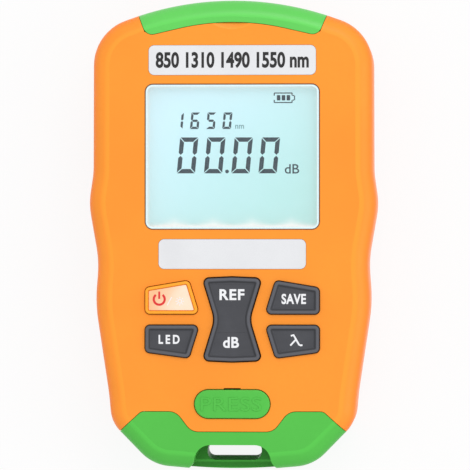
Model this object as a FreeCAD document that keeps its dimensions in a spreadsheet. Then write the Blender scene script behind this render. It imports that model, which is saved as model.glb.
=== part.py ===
"""Handheld optical power meter, built as a parametric FreeCAD document.

The meter lies on its back: +Z points out of its face, +Y to the end with the optical port, +X to the right
of someone who reads the display. The origin is under the middle of the case, on the back face.
Every size below is in millimetres and is a cell of the document's spreadsheet.
"""
import FreeCAD, Part
import math
import os
import re
import Sketcher

SIZES = {
    # case outline, half of a symmetric shape: half widths, and rises and drops from the middle of the length
    "crown_apex": 63.6, "crown_radius": 82.0, "crown_slope": 19.2,
    "shoulder_half": 37.85, "shoulder_round": 13.0,
    "flank_half": 37.95, "flank_rise": 17.0, "flank_round": 20.0,
    "grip_half": 39.2, "grip_rise": 8.5, "grip_round": 20.0,
    "waist_half": 36.5, "waist_drop": 7.0, "waist_round": 30.0,
    "palm_half": 37.4, "palm_drop": 18.5, "palm_round": 40.0,
    "taper_half": 33.7, "taper_drop": 43.0, "taper_round": 60.0,
    "foot_half": 33.0, "foot_drop": 50.8, "foot_round": 9.0,
    "keel_half": 21.8, "keel_round": 12.0,
    "base_apex": 63.6, "base_radius": 150.0, "base_slope": 4.85,
    # case thickness, walls and seams
    "case_depth": 30.0, "parting_height": 9.0, "face_wall": 2.6, "back_wall": 2.0, "side_wall": 2.0,
    "face_round": 4.8, "back_round": 4.0, "seam_gap": 0.15, "lip_height": 1.2, "slide_gap": 0.2,
    "rib_half": 0.6, "rib_root": 0.6, "overlap": 0.5,
    # port cover and its hinge
    "cover_wall": 1.6, "cover_foot_half": 23.2, "cover_foot_rise": 53.9, "cover_foot_round": 2.5,
    "cover_flare": 0.4, "cover_dip_rise": 59.3, "cover_dip_round": 64.0, "cover_ledge": 1.4,
    "swing_gap": 0.7, "tongue_half": 8.0, "hinge_inset": 2.4, "hinge_height": 3.0, "barrel_radius": 1.9,
    "pin_radius": 0.75, "running_fit": 0.05, "ear_width": 3.5,
    "ear_reach": 0.4, "thumb_radius": 26.0, "thumb_reach": 10.0, "thumb_rise": 55.6,
    # port bay, bulkhead, optical adapter and torch
    "bay_half": 21.9, "bay_wall": 1.5, "bulkhead_rise": 49.6, "bulkhead_wall": 1.8, "bulkhead_side_gap": 0.1,
    "port_offset": 11.0, "port_clearance": 0.4, "barrel_outer": 4.0, "adapter_flange": 6.2,
    "adapter_flange_wall": 1.4, "adapter_reach": 5.8, "adapter_neck": 2.1, "sleeve_wall": 0.35,
    "ferrule_radius": 1.25, "adapter_sleeve_length": 8.2, "adapter_lip": 0.3, "nut_radius": 5.6,
    "nut_height": 1.5, "fit_gap": 0.05, "torch_flange": 4.9, "torch_flange_wall": 1.0, "torch_tube": 4.1,
    "torch_bore": 3.1, "torch_tube_depth": 3.6, "lamp_radius": 2.5, "lamp_rim": 2.9, "lamp_length": 8.6,
    "lamp_rim_wall": 1.0, "lamp_lead": 3.0, "lamp_lead_radius": 0.3, "lamp_lead_half": 1.27,
    "key_slot_half": 1.0,
    "key_slot_length": 3.0, "key_slot_depth": 1.2, "can_radius": 2.3, "can_length": 2.1,
    "can_rim_radius": 2.8,
    "can_rim_wall": 1.0, "lead_length": 2.0, "lead_radius": 0.25, "lead_pitch": 1.2, "lead_hole": 0.35,
    "detector_half": 6.0, "detector_drop": 5.0, "detector_wall": 1.2, "detector_gap": 0.4,
    # window, plates and display
    "window_width": 47.3, "window_height": 39.4, "window_rise": 21.2, "window_round": 2.2,
    "window_wall": 1.2, "window_seat": 0.4, "trim_gap": 0.1, "title_width": 45.2, "title_rise": 47.3,
    "blank_width": 39.8, "blank_drop": 5.1, "plate_height": 8.0, "plate_round": 1.5, "plate_wall": 0.5,
    "frame_width": 53.0, "frame_height": 45.0, "frame_wall": 1.3, "panel_wall": 2.3, "gasket_wall": 0.3,
    "strip_width": 1.4, "plate_proud": 0.05, "panel_clearance": 0.1, "panel_ledge": 0.6,
    "gasket_inset": 0.5, "gasket_width": 1.5, "guide_inset": 0.8, "guide_gap": 0.2, "lamp_row": 2.2,
    "lamp_half": 1.4, "lamp_depth": 1.0, "lamp_gap": 0.1, "lamp_height": 1.5, "strip_inset": 2.0,
    # main board
    "board_sink": 9.8, "board_wall": 1.6, "board_half": 26.8, "board_waist_half": 25.0,
    "board_end_gap": 0.2, "board_drop": 39.2, "board_step_drop": 3.0, "post_radius": 2.0,
    "post_half": 23.6, "post_rise": 46.1, "post_low_half": 21.8, "post_low_drop": 37.1,
    "board_screw_radius": 0.9, "board_screw_head": 1.7, "board_screw_wall": 1.2, "board_screw_bite": 3.5,
    "bore_extra": 0.5, "board_round": 1.0, "controller_width": 10.0, "controller_wall": 1.6,
    "controller_drop": 12.0,
    "amplifier_width": 5.0, "amplifier_height": 4.0, "amplifier_wall": 1.5, "amplifier_rise": 36.0,
    # keys: one quadrilateral for the upper pair and one for the lower, mirrored
    "key_outer": 23.55, "key_wide": 11.7, "key_narrow": 8.9, "key_round": 1.3,
    "upper_inner_drop": 12.2, "upper_outer_drop": 14.2, "upper_foot_drop": 21.3,
    "lower_top_drop": 24.3, "lower_inner_drop": 33.2, "lower_outer_drop": 31.6,
    "rocker_half": 7.95, "rocker_waist": 4.6, "rocker_top_drop": 11.7, "rocker_foot_drop": 33.8,
    "rocker_crown": 0.35, "rocker_waist_round": 7.0, "pad_gap": 3.9, "rocker_gap": 0.3,
    "key_proud": 0.9, "key_gap": 0.2, "key_body": 6.1, "key_flange": 0.9, "key_flange_wall": 0.8,
    "key_flange_gap": 0.2, "key_edge": 0.45, "key_rim": 0.75, "key_bevel": 0.85, "dish_depth": 0.55,
    "key_travel": 0.8, "plunger_radius": 2.1, "plunger_gap": 0.15, "mat_wall": 0.8, "dome_radius": 2.9,
    "dome_height": 0.6, "stub_radius": 0.8, "stub_length": 2.6, "stub_sink": 3.9, "panel_inset": 1.05,
    "panel_bevel": 0.15,
    "least_round": 0.1,
    "plunger_shift": 0.4, "plunger_drop": 0.3, "rocker_plunger_inset": 4.2, "pad_round": 0.3,
    "dome_clearance": 0.4, "dome_taper": 0.6, "mat_margin": 1.0, "saddle_gap": 0.8, "saddle_width": 1.6,
    "saddle_half": 0.9, "saddle_play": 0.1,
    # release button, latch and end cap
    "button_width": 20.4, "button_height": 7.7, "button_drop": 45.6, "button_proud": 0.7, "button_gap": 0.2,
    "notch_width": 4.6, "notch_height": 0.45, "notch_margin": 0.4, "plunger_half": 2.2, "plunger_wall": 1.6,
    "cap_ear_drop": 47.7, "cap_ear_half": 24.6, "cap_dip_drop": 53.2, "cap_dip_top": 15.3,
    "cap_dip_foot": 11.1, "cap_line_round": 4.0, "cap_flank_slope": 0.909, "cap_wall": 2.2,
    "cap_floor_drop": 54.9, "cap_pocket_inner": 12.5, "tab_inner": 18.4, "tab_outer": 22.5,
    "tab_root_drop": 43.5, "tab_tip_drop": 55.4, "tab_wall": 1.2, "latch_half": 5.0, "latch_sink": 7.6,
    "latch_wall": 1.4, "latch_tip_drop": 43.9, "latch_bar": 0.9, "hook_half": 1.8, "hook_wall": 1.0,
    "hook_gap": 0.35, "leaf_sink": 9.4, "leaf_wall": 0.4, "leaf_width": 4.0, "leaf_root": 14.5,
    "leaf_tail": 2.4, "latch_post": 2.3, "latch_screw_radius": 0.9,
    "latch_screw_length": 4.5, "latch_screw_wall": 1.2, "latch_screw_rim": 0.9, "plunger_lift": 0.3,
    "hook_sink": 0.1,
    "tab_root_gap": 0.3,
    "loop_half": 7.4, "loop_top_drop": 56.7, "loop_foot_drop": 60.4, "scoop_top_half": 9.6,
    "scoop_foot_half": 10.7, "scoop_foot_drop": 62.3, "bar_front": 17.0, "bar_back": 9.5,
    "bar_slope": 1.0, "bar_slope_depth": 5.0,
    "scoop_round": 4.4, "scoop_foot_round": 4.0, "scoop_flare": 5.0, "pocket_round": 1.0,
    # battery sleeve, cells and contacts
    "cell_radius": 5.2, "cell_length": 44.0, "cell_pitch": 11.6, "cell_height": 8.3, "cell_foot_drop": 48.4,
    "cell_gap": 0.2, "nub_radius": 1.9, "nub_height": 0.8, "sleeve_skin": 0.9, "sleeve_mouth_drop": 47.3,
    "sleeve_end": 1.2, "contact_wall": 0.4, "contact_gap": 0.25, "carrier_wall": 3.6, "spring_radius": 3.2,
    "spring_seat": 2.6, "carrier_low_inset": 0.8, "carrier_high_inset": 0.4, "contact_radius": 4.4,
    # case screws
    "boss_radius": 3.1, "boss_half": 30.9, "boss_rise": 38.0, "boss_low_half": 28.3, "boss_low_drop": 37.4,
    "screw_radius": 1.25, "screw_head": 2.3, "screw_head_wall": 1.6, "screw_seat": 5.0, "screw_length": 14.0,
    "screw_clearance": 0.2, "head_clearance": 0.3,
}

document = FreeCAD.newDocument("optical_power_meter")
sheet = document.addObject("Spreadsheet::Sheet", "Sizes")
for row, (alias, number) in enumerate(SIZES.items(), start=1):
    sheet.set(f"A{row}", alias)
    sheet.set(f"B{row}", str(number))
    sheet.setAlias(f"B{row}", alias)
document.recompute()

FAR = 10.0          # how far a cutting shape runs past the surface it cuts
PARTS = []          # one entry for each finished sub-part, in the order they are made

# places that several sub-parts share, written in size names
FACE_IN = "(case_depth - face_wall)"
BOARD_FOOT = "(case_depth - board_sink)"
BOARD_TOP = f"({BOARD_FOOT} + board_wall)"
BOARD_END = "(bulkhead_rise - nut_height - board_end_gap)"
PORT_AXIS = f"({BOARD_FOOT} - barrel_outer - port_clearance)"
STUB_AXIS = "(case_depth - stub_sink)"
LATCH_FOOT = "(case_depth - latch_sink)"
LATCH_TOP = f"({LATCH_FOOT} + latch_wall)"
LEAF_FOOT = "(case_depth - leaf_sink)"
LEAF_TOP = f"({LEAF_FOOT} + leaf_wall)"
PANEL_FOOT = f"({FACE_IN} - gasket_wall - panel_wall)"
HINGE_Y = "(crown_apex - hinge_inset)"
KEY_TOP = "(case_depth + key_proud)"
FLANGE_TOP = "(case_depth - face_wall - key_flange_gap)"
BULKHEAD_FACE = "(bulkhead_rise + bulkhead_wall)"
BAY_TOP = ("(crown_apex - crown_radius + sqrt(crown_radius * crown_radius"
           " - (bay_half + bay_wall) * (bay_half + bay_wall)) - cover_wall - seam_gap)")
COVER_FOOT = "(parting_height + swing_gap)"


# ---------------------------------------------------------------- sizes and expressions
def val(expression):
    """Number that an expression in size names stands for."""
    if isinstance(expression, (int, float)):
        return float(expression)
    result = sheet.evalExpression(expression)
    return float(getattr(result, "Value", result))


def linked(expression):
    """The same expression as the rest of the document writes it, with the sheet's name before each size."""
    return re.sub(r"[a-z_]+", lambda word: "Sizes." + word[0] if word[0] in SIZES else word[0],
                  str(expression))


def bind(item, name, expression):
    """Drive one property of an object from the sheet."""
    item.setExpression(name, linked(expression))


# ---------------------------------------------------------------- outlines
def corner_points(corners):
    return [(val(x), val(y), val(r)) for x, y, r in corners]


def grown(corners, distance):
    """Offset a polygon of (x, y, radius) corners outwards, keeping its round corners concentric."""
    points = corner_points(corners)
    count = len(points)
    area = sum(points[i][0] * points[(i + 1) % count][1] - points[(i + 1) % count][0] * points[i][1]
               for i in range(count))
    side = math.copysign(val(distance), area * val(distance)) if val(distance) else 0.0
    result = []
    for i, (x, y, r) in enumerate(points):
        ax, ay = x - points[i - 1][0], y - points[i - 1][1]
        bx, by = points[(i + 1) % count][0] - x, points[(i + 1) % count][1] - y
        a_length, b_length = math.hypot(ax, ay), math.hypot(bx, by)
        a_normal, b_normal = (ay / a_length, -ax / a_length), (by / b_length, -bx / b_length)
        spread = 1 + a_normal[0] * b_normal[0] + a_normal[1] * b_normal[1]
        shift = [(a_normal[k] + b_normal[k]) / spread * side for k in (0, 1)]
        convex = (ax * by - ay * bx) * area > 0
        radius = max(r + (val(distance) if convex else -val(distance)), val("least_round")) if r else 0.0
        result.append((x + shift[0], y + shift[1], radius))
    return result


def sides_at(points, i):
    """A corner as a vector, the unit vectors along its two sides, and half the angle between them."""
    here, before, after = (FreeCAD.Vector(*points[k % len(points)][:2], 0) for k in (i, i - 1, i + 1))
    back, ahead = (before - here).normalize(), (after - here).normalize()
    return here, back, ahead, back.getAngle(ahead) / 2


def corner_runs(points):
    """Length that each corner's arc takes from its two sides, shortened where two arcs would overlap."""
    wanted = []
    for i, (x, y, r) in enumerate(points):
        half = sides_at(points, i)[3]
        straight = r < 1e-6 or abs(half - math.pi / 2) < 1e-6
        wanted.append(0.0 if straight else r / math.tan(half))
    runs = list(wanted)
    for i, (x, y, r) in enumerate(points):
        before = wanted[i - 1] + wanted[i]
        length = math.hypot(x - points[i - 1][0], y - points[i - 1][1])
        if before > length:
            runs[i - 1] = min(runs[i - 1], wanted[i - 1] * length / before)
            runs[i] = min(runs[i], wanted[i] * length / before)
    return runs


def path(corners):
    """Closed run of lines and tangent arcs round a polygon of (x, y, radius) corners."""
    points = corner_points(corners)
    ends = []
    for i, run in enumerate(corner_runs(points)):
        here, back, ahead, half = sides_at(points, i)
        if run < 1e-6:
            ends.append((here, None, here))
            continue
        middle = (back + ahead).normalize() * (run / math.cos(half) - run * math.tan(half))
        ends.append((here + back * run, here + middle, here + ahead * run))
    edges = []
    for i, (start, middle, stop) in enumerate(ends):
        if middle:
            edges.append(Part.Arc(start, middle, stop))
        following = ends[(i + 1) % len(ends)][0]
        if (following - stop).Length > 1e-6:
            edges.append(Part.LineSegment(stop, following))
    return edges


def mirrored(right):
    """Full polygon from its right half, listed from top to bottom; corners on the axis are used once."""
    return list(right) + [(-x, y, r) for x, y, r in reversed(corner_points(right)) if abs(x) > 1e-9]


def box(x_low, x_high, y_low, y_high, radius=0):
    return [(x_low, y_low, radius), (x_high, y_low, radius), (x_high, y_high, radius),
            (x_low, y_high, radius)]


def case_outline(inset=0):
    """The case seen from the front, moved inwards by a wall."""
    crown = math.radians(val("crown_slope"))
    base = math.radians(val("base_slope"))
    crown_tip = val("crown_apex") + val("crown_radius") * (1 / math.cos(crown) - 1)
    base_tip = -val("base_apex") - val("base_radius") * (1 / math.cos(base) - 1)
    shoulder_rise = crown_tip - val("shoulder_half") * math.tan(crown)
    keel_drop = base_tip + val("keel_half") * math.tan(base)
    right = [
        (0, crown_tip, "crown_radius"),
        ("shoulder_half", shoulder_rise, "shoulder_round"),
        ("flank_half", "flank_rise", "flank_round"),
        ("grip_half", "grip_rise", "grip_round"),
        ("waist_half", "-waist_drop", "waist_round"),
        ("palm_half", "-palm_drop", "palm_round"),
        ("taper_half", "-taper_drop", "taper_round"),
        ("foot_half", "-foot_drop", "foot_round"),
        ("keel_half", keel_drop, "keel_round"),
        (0, base_tip, "base_radius"),
    ]
    return grown(mirrored(right), -val(inset))


def cover_outline(growth=0):
    """Plan of the port cover: flared ends and a lower edge that follows the crown."""
    top = val("crown_apex") + FAR
    reach = val("cover_foot_half") + (top - val("cover_foot_rise")) * val("cover_flare")
    right = [(reach, top, 0), ("cover_foot_half", "cover_foot_rise", "cover_foot_round"),
             (0, "cover_dip_rise", "cover_dip_round")]
    return grown(mirrored(right), growth)


def crown_band(inset, growth):
    """The part of the cover's plan that lies outside the crown moved inwards by inset."""
    flare = val("cover_flare")
    slant = math.hypot(flare, 1)
    foot_x = val("cover_foot_half") + val(growth) / slant
    foot_y = val("cover_foot_rise") - val(growth) * flare / slant
    centre_y = val("crown_apex") - val("crown_radius")
    radius = val("crown_radius") - val(inset)
    # the flared side as foot + t * (flare, 1) meets the circle about (0, centre_y)
    a, b = slant ** 2, foot_x * flare + foot_y - centre_y
    c = foot_x ** 2 + (foot_y - centre_y) ** 2 - radius ** 2
    t = (-b + math.sqrt(b * b - a * c)) / a
    side = FreeCAD.Vector(foot_x + t * flare, foot_y + t, 0)
    top = val("crown_apex") + FAR
    reach = foot_x + (top - foot_y) * flare
    left = FreeCAD.Vector(-side.x, side.y, 0)
    high_right, high_left = FreeCAD.Vector(reach, top, 0), FreeCAD.Vector(-reach, top, 0)
    return [Part.Arc(left, FreeCAD.Vector(0, centre_y + radius, 0), side), Part.LineSegment(side, high_right),
            Part.LineSegment(high_right, high_left), Part.LineSegment(high_left, left)]


def crown_strip(half, inner_inset):
    """Piece of the crown's wall within a half width, from the outer surface in to inner_inset."""
    centre_y = val("crown_apex") - val("crown_radius")

    def on_crown(x, inset):
        radius = val("crown_radius") - val(inset)
        return FreeCAD.Vector(x, centre_y + math.sqrt(radius ** 2 - x ** 2), 0)
    side = val(half)
    outer = [on_crown(x, 0) for x in (-side, 0, side)]
    inner = [on_crown(x, inner_inset) for x in (side, 0, -side)]
    return [Part.Arc(*outer), Part.LineSegment(outer[2], inner[0]), Part.Arc(*inner),
            Part.LineSegment(inner[2], outer[0])]


def cap_line(growth=0, keep_cap=True):
    """Everything on one side of the end cap's parting line: the cap's side, or the shells' side."""
    far_x = val("grip_half") + FAR
    far_y = -val("cap_ear_drop") - (far_x - val("cap_ear_half")) * val("cap_flank_slope")
    closing_y = -val("base_apex") - 3 * FAR if keep_cap else val("crown_apex") + FAR
    right = [("cap_dip_foot", "-cap_dip_drop", "cap_line_round"),
             ("cap_dip_top", "-cap_ear_drop", "cap_line_round"),
             ("cap_ear_half", "-cap_ear_drop", "cap_line_round / 2"), (far_x, far_y, 0),
             (far_x, closing_y, 0)]
    return grown(mirrored(right), growth)


def upper_key(side):
    """Plan of a key of the upper pair; side is 1 on the right and -1 on the left."""
    return [(side * val("key_outer"), "-upper_outer_drop", "key_round"),
            (side * val("key_wide"), "-upper_inner_drop", "key_round"),
            (side * val("key_narrow"), "-upper_foot_drop", "key_round"),
            (side * val("key_outer"), "-upper_foot_drop", "key_round")]


def lower_key(side):
    return [(side * val("key_outer"), "-lower_top_drop", "key_round"),
            (side * val("key_narrow"), "-lower_top_drop", "key_round"),
            (side * val("key_wide"), "-lower_inner_drop", "key_round"),
            (side * val("key_outer"), "-lower_outer_drop", "key_round")]


def rocker_outline():
    """Hourglass plan of the two-function rocker."""
    middle = "-(rocker_top_drop + rocker_foot_drop) / 2"
    right = [(0, "-rocker_top_drop + rocker_crown", 0), ("rocker_half", "-rocker_top_drop", "key_round"),
             ("rocker_waist", middle, "rocker_waist_round"),
             ("rocker_half", "-rocker_foot_drop", "key_round"), (0, "-rocker_foot_drop - rocker_crown", 0)]
    return mirrored(right)


def rocker_pad(side):
    """Plan of one pressing pad of the rocker: side is 1 for the upper one and -1 for the lower one."""
    middle = -(val("rocker_top_drop") + val("rocker_foot_drop")) / 2
    reach = (val("rocker_foot_drop") - val("rocker_top_drop")) / 2
    near = val("pad_gap") / 2
    lean = (val("rocker_half") - val("rocker_waist")) / reach
    near_half = val("rocker_waist") + near * lean
    return [("rocker_half", middle + side * reach, "key_round"),
            (near_half, middle + side * near, "pad_round"),
            (-near_half, middle + side * near, "pad_round"),
            ("-rocker_half", middle + side * reach, "key_round")]


# ---------------------------------------------------------------- features
def new_body(label):
    body = document.addObject("PartDesign::Body", label)
    body.Label = label
    PARTS.append(body)
    return body


def origin_plane(body, role):
    return next(feature for feature in body.Origin.OriginFeatures if feature.Role == role)


def attach(feature, body, role, place):
    """Put a sketch or primitive on an origin plane, moved by expressions along the plane's own x, y and z."""
    feature.AttachmentSupport = [(origin_plane(body, role), "")]
    feature.MapMode = "FlatFace"
    for axis, distance in zip("xyz", place):
        bind(feature, f"AttachmentOffset.Base.{axis}", distance)


def new_sketch(body, name, outlines, height, role="XY_Plane"):
    """Sketch of closed outlines: corner polygons, runs of edges, or circles as (x, y, radius)."""
    sketch = body.newObject("Sketcher::SketchObject", name)
    attach(sketch, body, role, (0, 0, height))
    for outline in outlines:
        if isinstance(outline, tuple):
            add_circle(sketch, *outline)
        else:
            sketch.addGeometry(path(outline) if isinstance(outline[0], tuple) else outline)
    return sketch


def add_circle(sketch, x, y, radius):
    """Circle whose radius the sheet drives."""
    circle = Part.Circle(FreeCAD.Vector(val(x), val(y), 0), FreeCAD.Vector(0, 0, 1), val(radius))
    index = sketch.addGeometry(circle)
    constraint = sketch.addConstraint(Sketcher.Constraint("Radius", index, val(radius)))
    bind(sketch, f"Constraints[{constraint}]", radius)


def pad(body, name, outlines, low, high):
    """Material between two heights, inside the outlines."""
    feature = body.newObject("PartDesign::Pad", name)
    feature.Profile = new_sketch(body, name + "_sketch", outlines, low)
    bind(feature, "Length", f"({high}) - ({low})")
    return feature


def pocket(body, name, outlines, low, high):
    """Cut between two heights: the sketch lies at the upper one and the cut goes down."""
    feature = body.newObject("PartDesign::Pocket", name)
    feature.Profile = new_sketch(body, name + "_sketch", outlines, high)
    bind(feature, "Length", f"({high}) - ({low})")
    return feature


def block(body, name, x_span, y_span, z_span, cut=False):
    """Box between three pairs of expressions."""
    kind = "PartDesign::SubtractiveBox" if cut else "PartDesign::AdditiveBox"
    feature = body.newObject(kind, name)
    attach(feature, body, "XY_Plane", (x_span[0], y_span[0], z_span[0]))
    for side, (low, high) in zip(("Length", "Width", "Height"), (x_span, y_span, z_span)):
        bind(feature, side, f"({high}) - ({low})")
    return feature


def rod(body, name, axis, centre, span, radius, cut=False):
    """Cylinder along X, Y or Z; centre holds the two other coordinates in X, Y, Z order."""
    kind = "PartDesign::SubtractiveCylinder" if cut else "PartDesign::AdditiveCylinder"
    feature = body.newObject(kind, name)
    low, high = span
    if axis == "Y":      # this plane's own z runs towards -Y
        attach(feature, body, "XZ_Plane", (centre[0], centre[1], f"-({high})"))
    else:
        attach(feature, body, {"X": "YZ_Plane", "Z": "XY_Plane"}[axis], (centre[0], centre[1], low))
    bind(feature, "Radius", radius)
    bind(feature, "Height", f"({high}) - ({low})")
    return feature


def round_edges(body, name, base, radius, chosen):
    """Fillet the edges of a feature for which chosen(edge) holds."""
    document.recompute()
    names = [f"Edge{number}" for number, edge in enumerate(base.Shape.Edges, start=1) if chosen(edge)]
    feature = body.newObject("PartDesign::Fillet", name)
    feature.Base = (base, names)
    bind(feature, "Radius", radius)
    return feature


def at_height(height, also=lambda edge: True):
    """Test for edges that lie flat at one height."""
    level = val(height)
    return lambda edge: all(abs(corner.Z - level) < 1e-5 for corner in edge.Vertexes) and also(edge)


def on_crown_arc(inset):
    """Test for edges that run along the crown, moved inwards by inset."""
    centre = FreeCAD.Vector(0, val("crown_apex") - val("crown_radius"), 0)
    radius = val("crown_radius") - val(inset)

    def test(edge):
        middle = edge.valueAt((edge.FirstParameter + edge.LastParameter) / 2)
        return abs(FreeCAD.Vector(middle.x, middle.y, 0).distanceToPoint(centre) - radius) < 1e-3
    return test


def sink(body, name, outer, inner, top, depth):
    """Dish with sloping sides, from the outer outline at the top to the inner one at its floor."""
    upper = new_sketch(body, name + "_rim", [outer], top)
    lower = new_sketch(body, name + "_floor", [inner], f"{top} - ({depth})")
    feature = body.newObject("PartDesign::SubtractiveLoft", name)
    feature.Profile = upper
    feature.Sections = [lower]
    feature.Ruled = True
    return feature


# ---------------------------------------------------------------- places of repeated features
CASE_BOSSES = [(side, x, y) for side in (1, -1)
               for x, y in (("boss_half", "boss_rise"), ("boss_low_half", "-boss_low_drop"))]
BOARD_POSTS = [(side, x, y) for side in (1, -1)
               for x, y in (("post_half", "post_rise"), ("post_low_half", "-post_low_drop"))]
UPPER_KEY_CENTRE = ("(key_outer + key_narrow) / 2 + plunger_shift",
                    "-(upper_inner_drop + upper_foot_drop) / 2 - plunger_drop")
LOWER_KEY_CENTRE = ("(key_outer + key_narrow) / 2 + plunger_shift",
                    "-(lower_top_drop + lower_outer_drop) / 2 - plunger_drop")
ROCKER_MIDDLE = "-(rocker_top_drop + rocker_foot_drop) / 2"
ROCKER_REACH = "((rocker_foot_drop - rocker_top_drop) / 2 - rocker_plunger_inset)"
DOMES = [(f"{side} * ({x})", y) for side in (1, -1) for x, y in (UPPER_KEY_CENTRE, LOWER_KEY_CENTRE)]
DOMES += [("0", f"{ROCKER_MIDDLE} + {ROCKER_REACH}"), ("0", f"{ROCKER_MIDDLE} - {ROCKER_REACH}")]
BAY_WALLS = [box("bay_half", "bay_half + bay_wall", "bulkhead_rise - 1", BAY_TOP),
             box("-bay_half - bay_wall", "-bay_half", "bulkhead_rise - 1", BAY_TOP)]
CELLS = (("left", -1), ("middle", 0), ("right", 1))


def circles(places, radius):
    """One circle for each (side, x, y) place."""
    return [(f"{side} * {x}", y, radius) for side, x, y in places]


def boss_rib(side, x, y):
    """Rib that ties a case boss to the side wall next to it."""
    near = side * val(x)
    far = near + side * val("boss_radius + rib_root")
    return box(min(near, far), max(near, far), f"{y} - rib_half", f"{y} + rib_half")


def centred(width, height, middle_y, radius=0, growth=0):
    """Rectangle of a width and height about (0, middle_y), grown on all sides."""
    half_x, half_y = val(width) / 2, val(height) / 2
    middle = val(middle_y)
    corners = box(-half_x, half_x, middle - half_y, middle + half_y, radius)
    return grown(corners, growth)


# ---------------------------------------------------------------- shells
def front_shell():
    body = new_body("front_shell")
    blank = pad(body, "face_block", [case_outline()], "parting_height", "case_depth")
    round_edges(body, "face_edge", blank, "face_round", at_height("case_depth"))
    pocket(body, "cavity", [case_outline("side_wall")], "parting_height - 1", FACE_IN)
    root = f"{FACE_IN} + face_wall / 2"
    pad(body, "bosses", circles(CASE_BOSSES, "boss_radius"), "parting_height", root)
    pad(body, "boss_ribs", [boss_rib(*place) for place in CASE_BOSSES], "parting_height + lip_height + 1",
        root)
    pad(body, "posts", circles(BOARD_POSTS, "post_radius"), BOARD_TOP, root)
    pad(body, "bay_walls", BAY_WALLS, "parting_height", root)
    pad(body, "latch_post", [("-leaf_root", "-button_drop", "latch_post")], LEAF_TOP, root)
    pocket(body, "seam_rabbet", [case_outline("side_wall / 2"), case_outline("side_wall + seam_gap")],
           "parting_height - 1", "parting_height + lip_height + seam_gap")
    cut_cover_opening(body)
    pocket(body, "cap_cut", [cap_line("seam_gap")], "-1", "case_depth + 1")
    cap_tabs(body, f"{FACE_IN} - slide_gap - tab_wall", f"{FACE_IN} - slide_gap", root)
    cut_face_openings(body)
    pocket(body, "boss_bores", circles(CASE_BOSSES, "screw_radius + running_fit"), "parting_height - 1",
           "screw_seat + screw_length + 1")
    pocket(body, "post_bores", circles(BOARD_POSTS, "board_screw_radius + running_fit"), f"{BOARD_TOP} - 1",
           f"{BOARD_TOP} + board_screw_bite + bore_extra")
    pocket(body, "latch_bore", [("-leaf_root", "-button_drop", "latch_screw_radius + running_fit")],
           LEAF_FOOT, f"{LEAF_FOOT} + latch_screw_length + bore_extra")


def cut_cover_opening(body):
    """Seat of the port cover in the face and crown, and the mouth of the port bay."""
    pocket(body, "cover_seat", [cover_outline("seam_gap")], "case_depth - cover_wall - seam_gap",
           "case_depth + 1")
    pocket(body, "crown_cut", [crown_band("cover_wall + seam_gap", "seam_gap")], "parting_height - 1",
           "case_depth + 1")
    pocket(body, "crown_corner", [crown_band("face_round + seam_gap", "seam_gap")],
           "case_depth - face_round - seam_gap", "case_depth + 1")
    pocket(body, "bay_mouth", [cover_outline("-cover_ledge")], "parting_height - 1", "case_depth + 1")
    thumb = body.newObject("PartDesign::SubtractiveSphere", "thumb_scoop")
    lift = "sqrt(thumb_radius * thumb_radius - thumb_reach * thumb_reach)"
    attach(thumb, body, "XY_Plane", ("0", "thumb_rise + thumb_reach", f"case_depth + {lift}"))
    bind(thumb, "Radius", "thumb_radius")


def cap_tabs(body, low, high, root):
    """Two flat tabs that run on inside the end cap and guide it."""
    spans = (("tab_inner", "tab_outer"), ("-tab_outer", "-tab_inner"))
    pad(body, "tabs", [box(*span, "-tab_tip_drop", "-tab_root_drop") for span in spans], low, high)
    bottom, top = (high, root) if val(root) > val(high) else (root, low)
    pad(body, "tab_roots", [box(*span, "-cap_ear_drop + seam_gap + tab_root_gap",
                                "-tab_root_drop") for span in spans],
        bottom, top)


def cut_face_openings(body):
    """Window, plates, keys and button in the face wall."""
    below, above = f"{FACE_IN} - 1", "case_depth + 1"
    window = ("window_width", "window_height", "window_rise", "window_round")
    button = centred("button_width", "button_height", "-button_drop", "button_height / 2 - 0.01",
                     "button_gap")
    keys = [grown(plan, "key_gap") for plan in (upper_key(-1), upper_key(1), lower_key(-1), lower_key(1))]
    pocket(body, "face_openings", keys + [grown(rocker_outline(), "rocker_gap"), button,
                                          centred(*window, growth="-window_seat")], below, above)
    pocket(body, "window_rebate", [centred(*window, growth="trim_gap")],
           "case_depth - window_wall - trim_gap", above)
    pocket(body, "plate_seats", [centred("title_width", "plate_height", "title_rise", "plate_round",
                                         "trim_gap"),
                                 centred("blank_width", "plate_height", "-blank_drop", "plate_round",
                                         "trim_gap")],
           "case_depth - plate_wall", above)
    block(body, "button_notch", ("-notch_width / 2", "notch_width / 2"),
          ("-button_drop + button_height / 2 - 1", "-button_drop + button_height / 2 + notch_height"),
          (below, above), cut=True)


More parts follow.
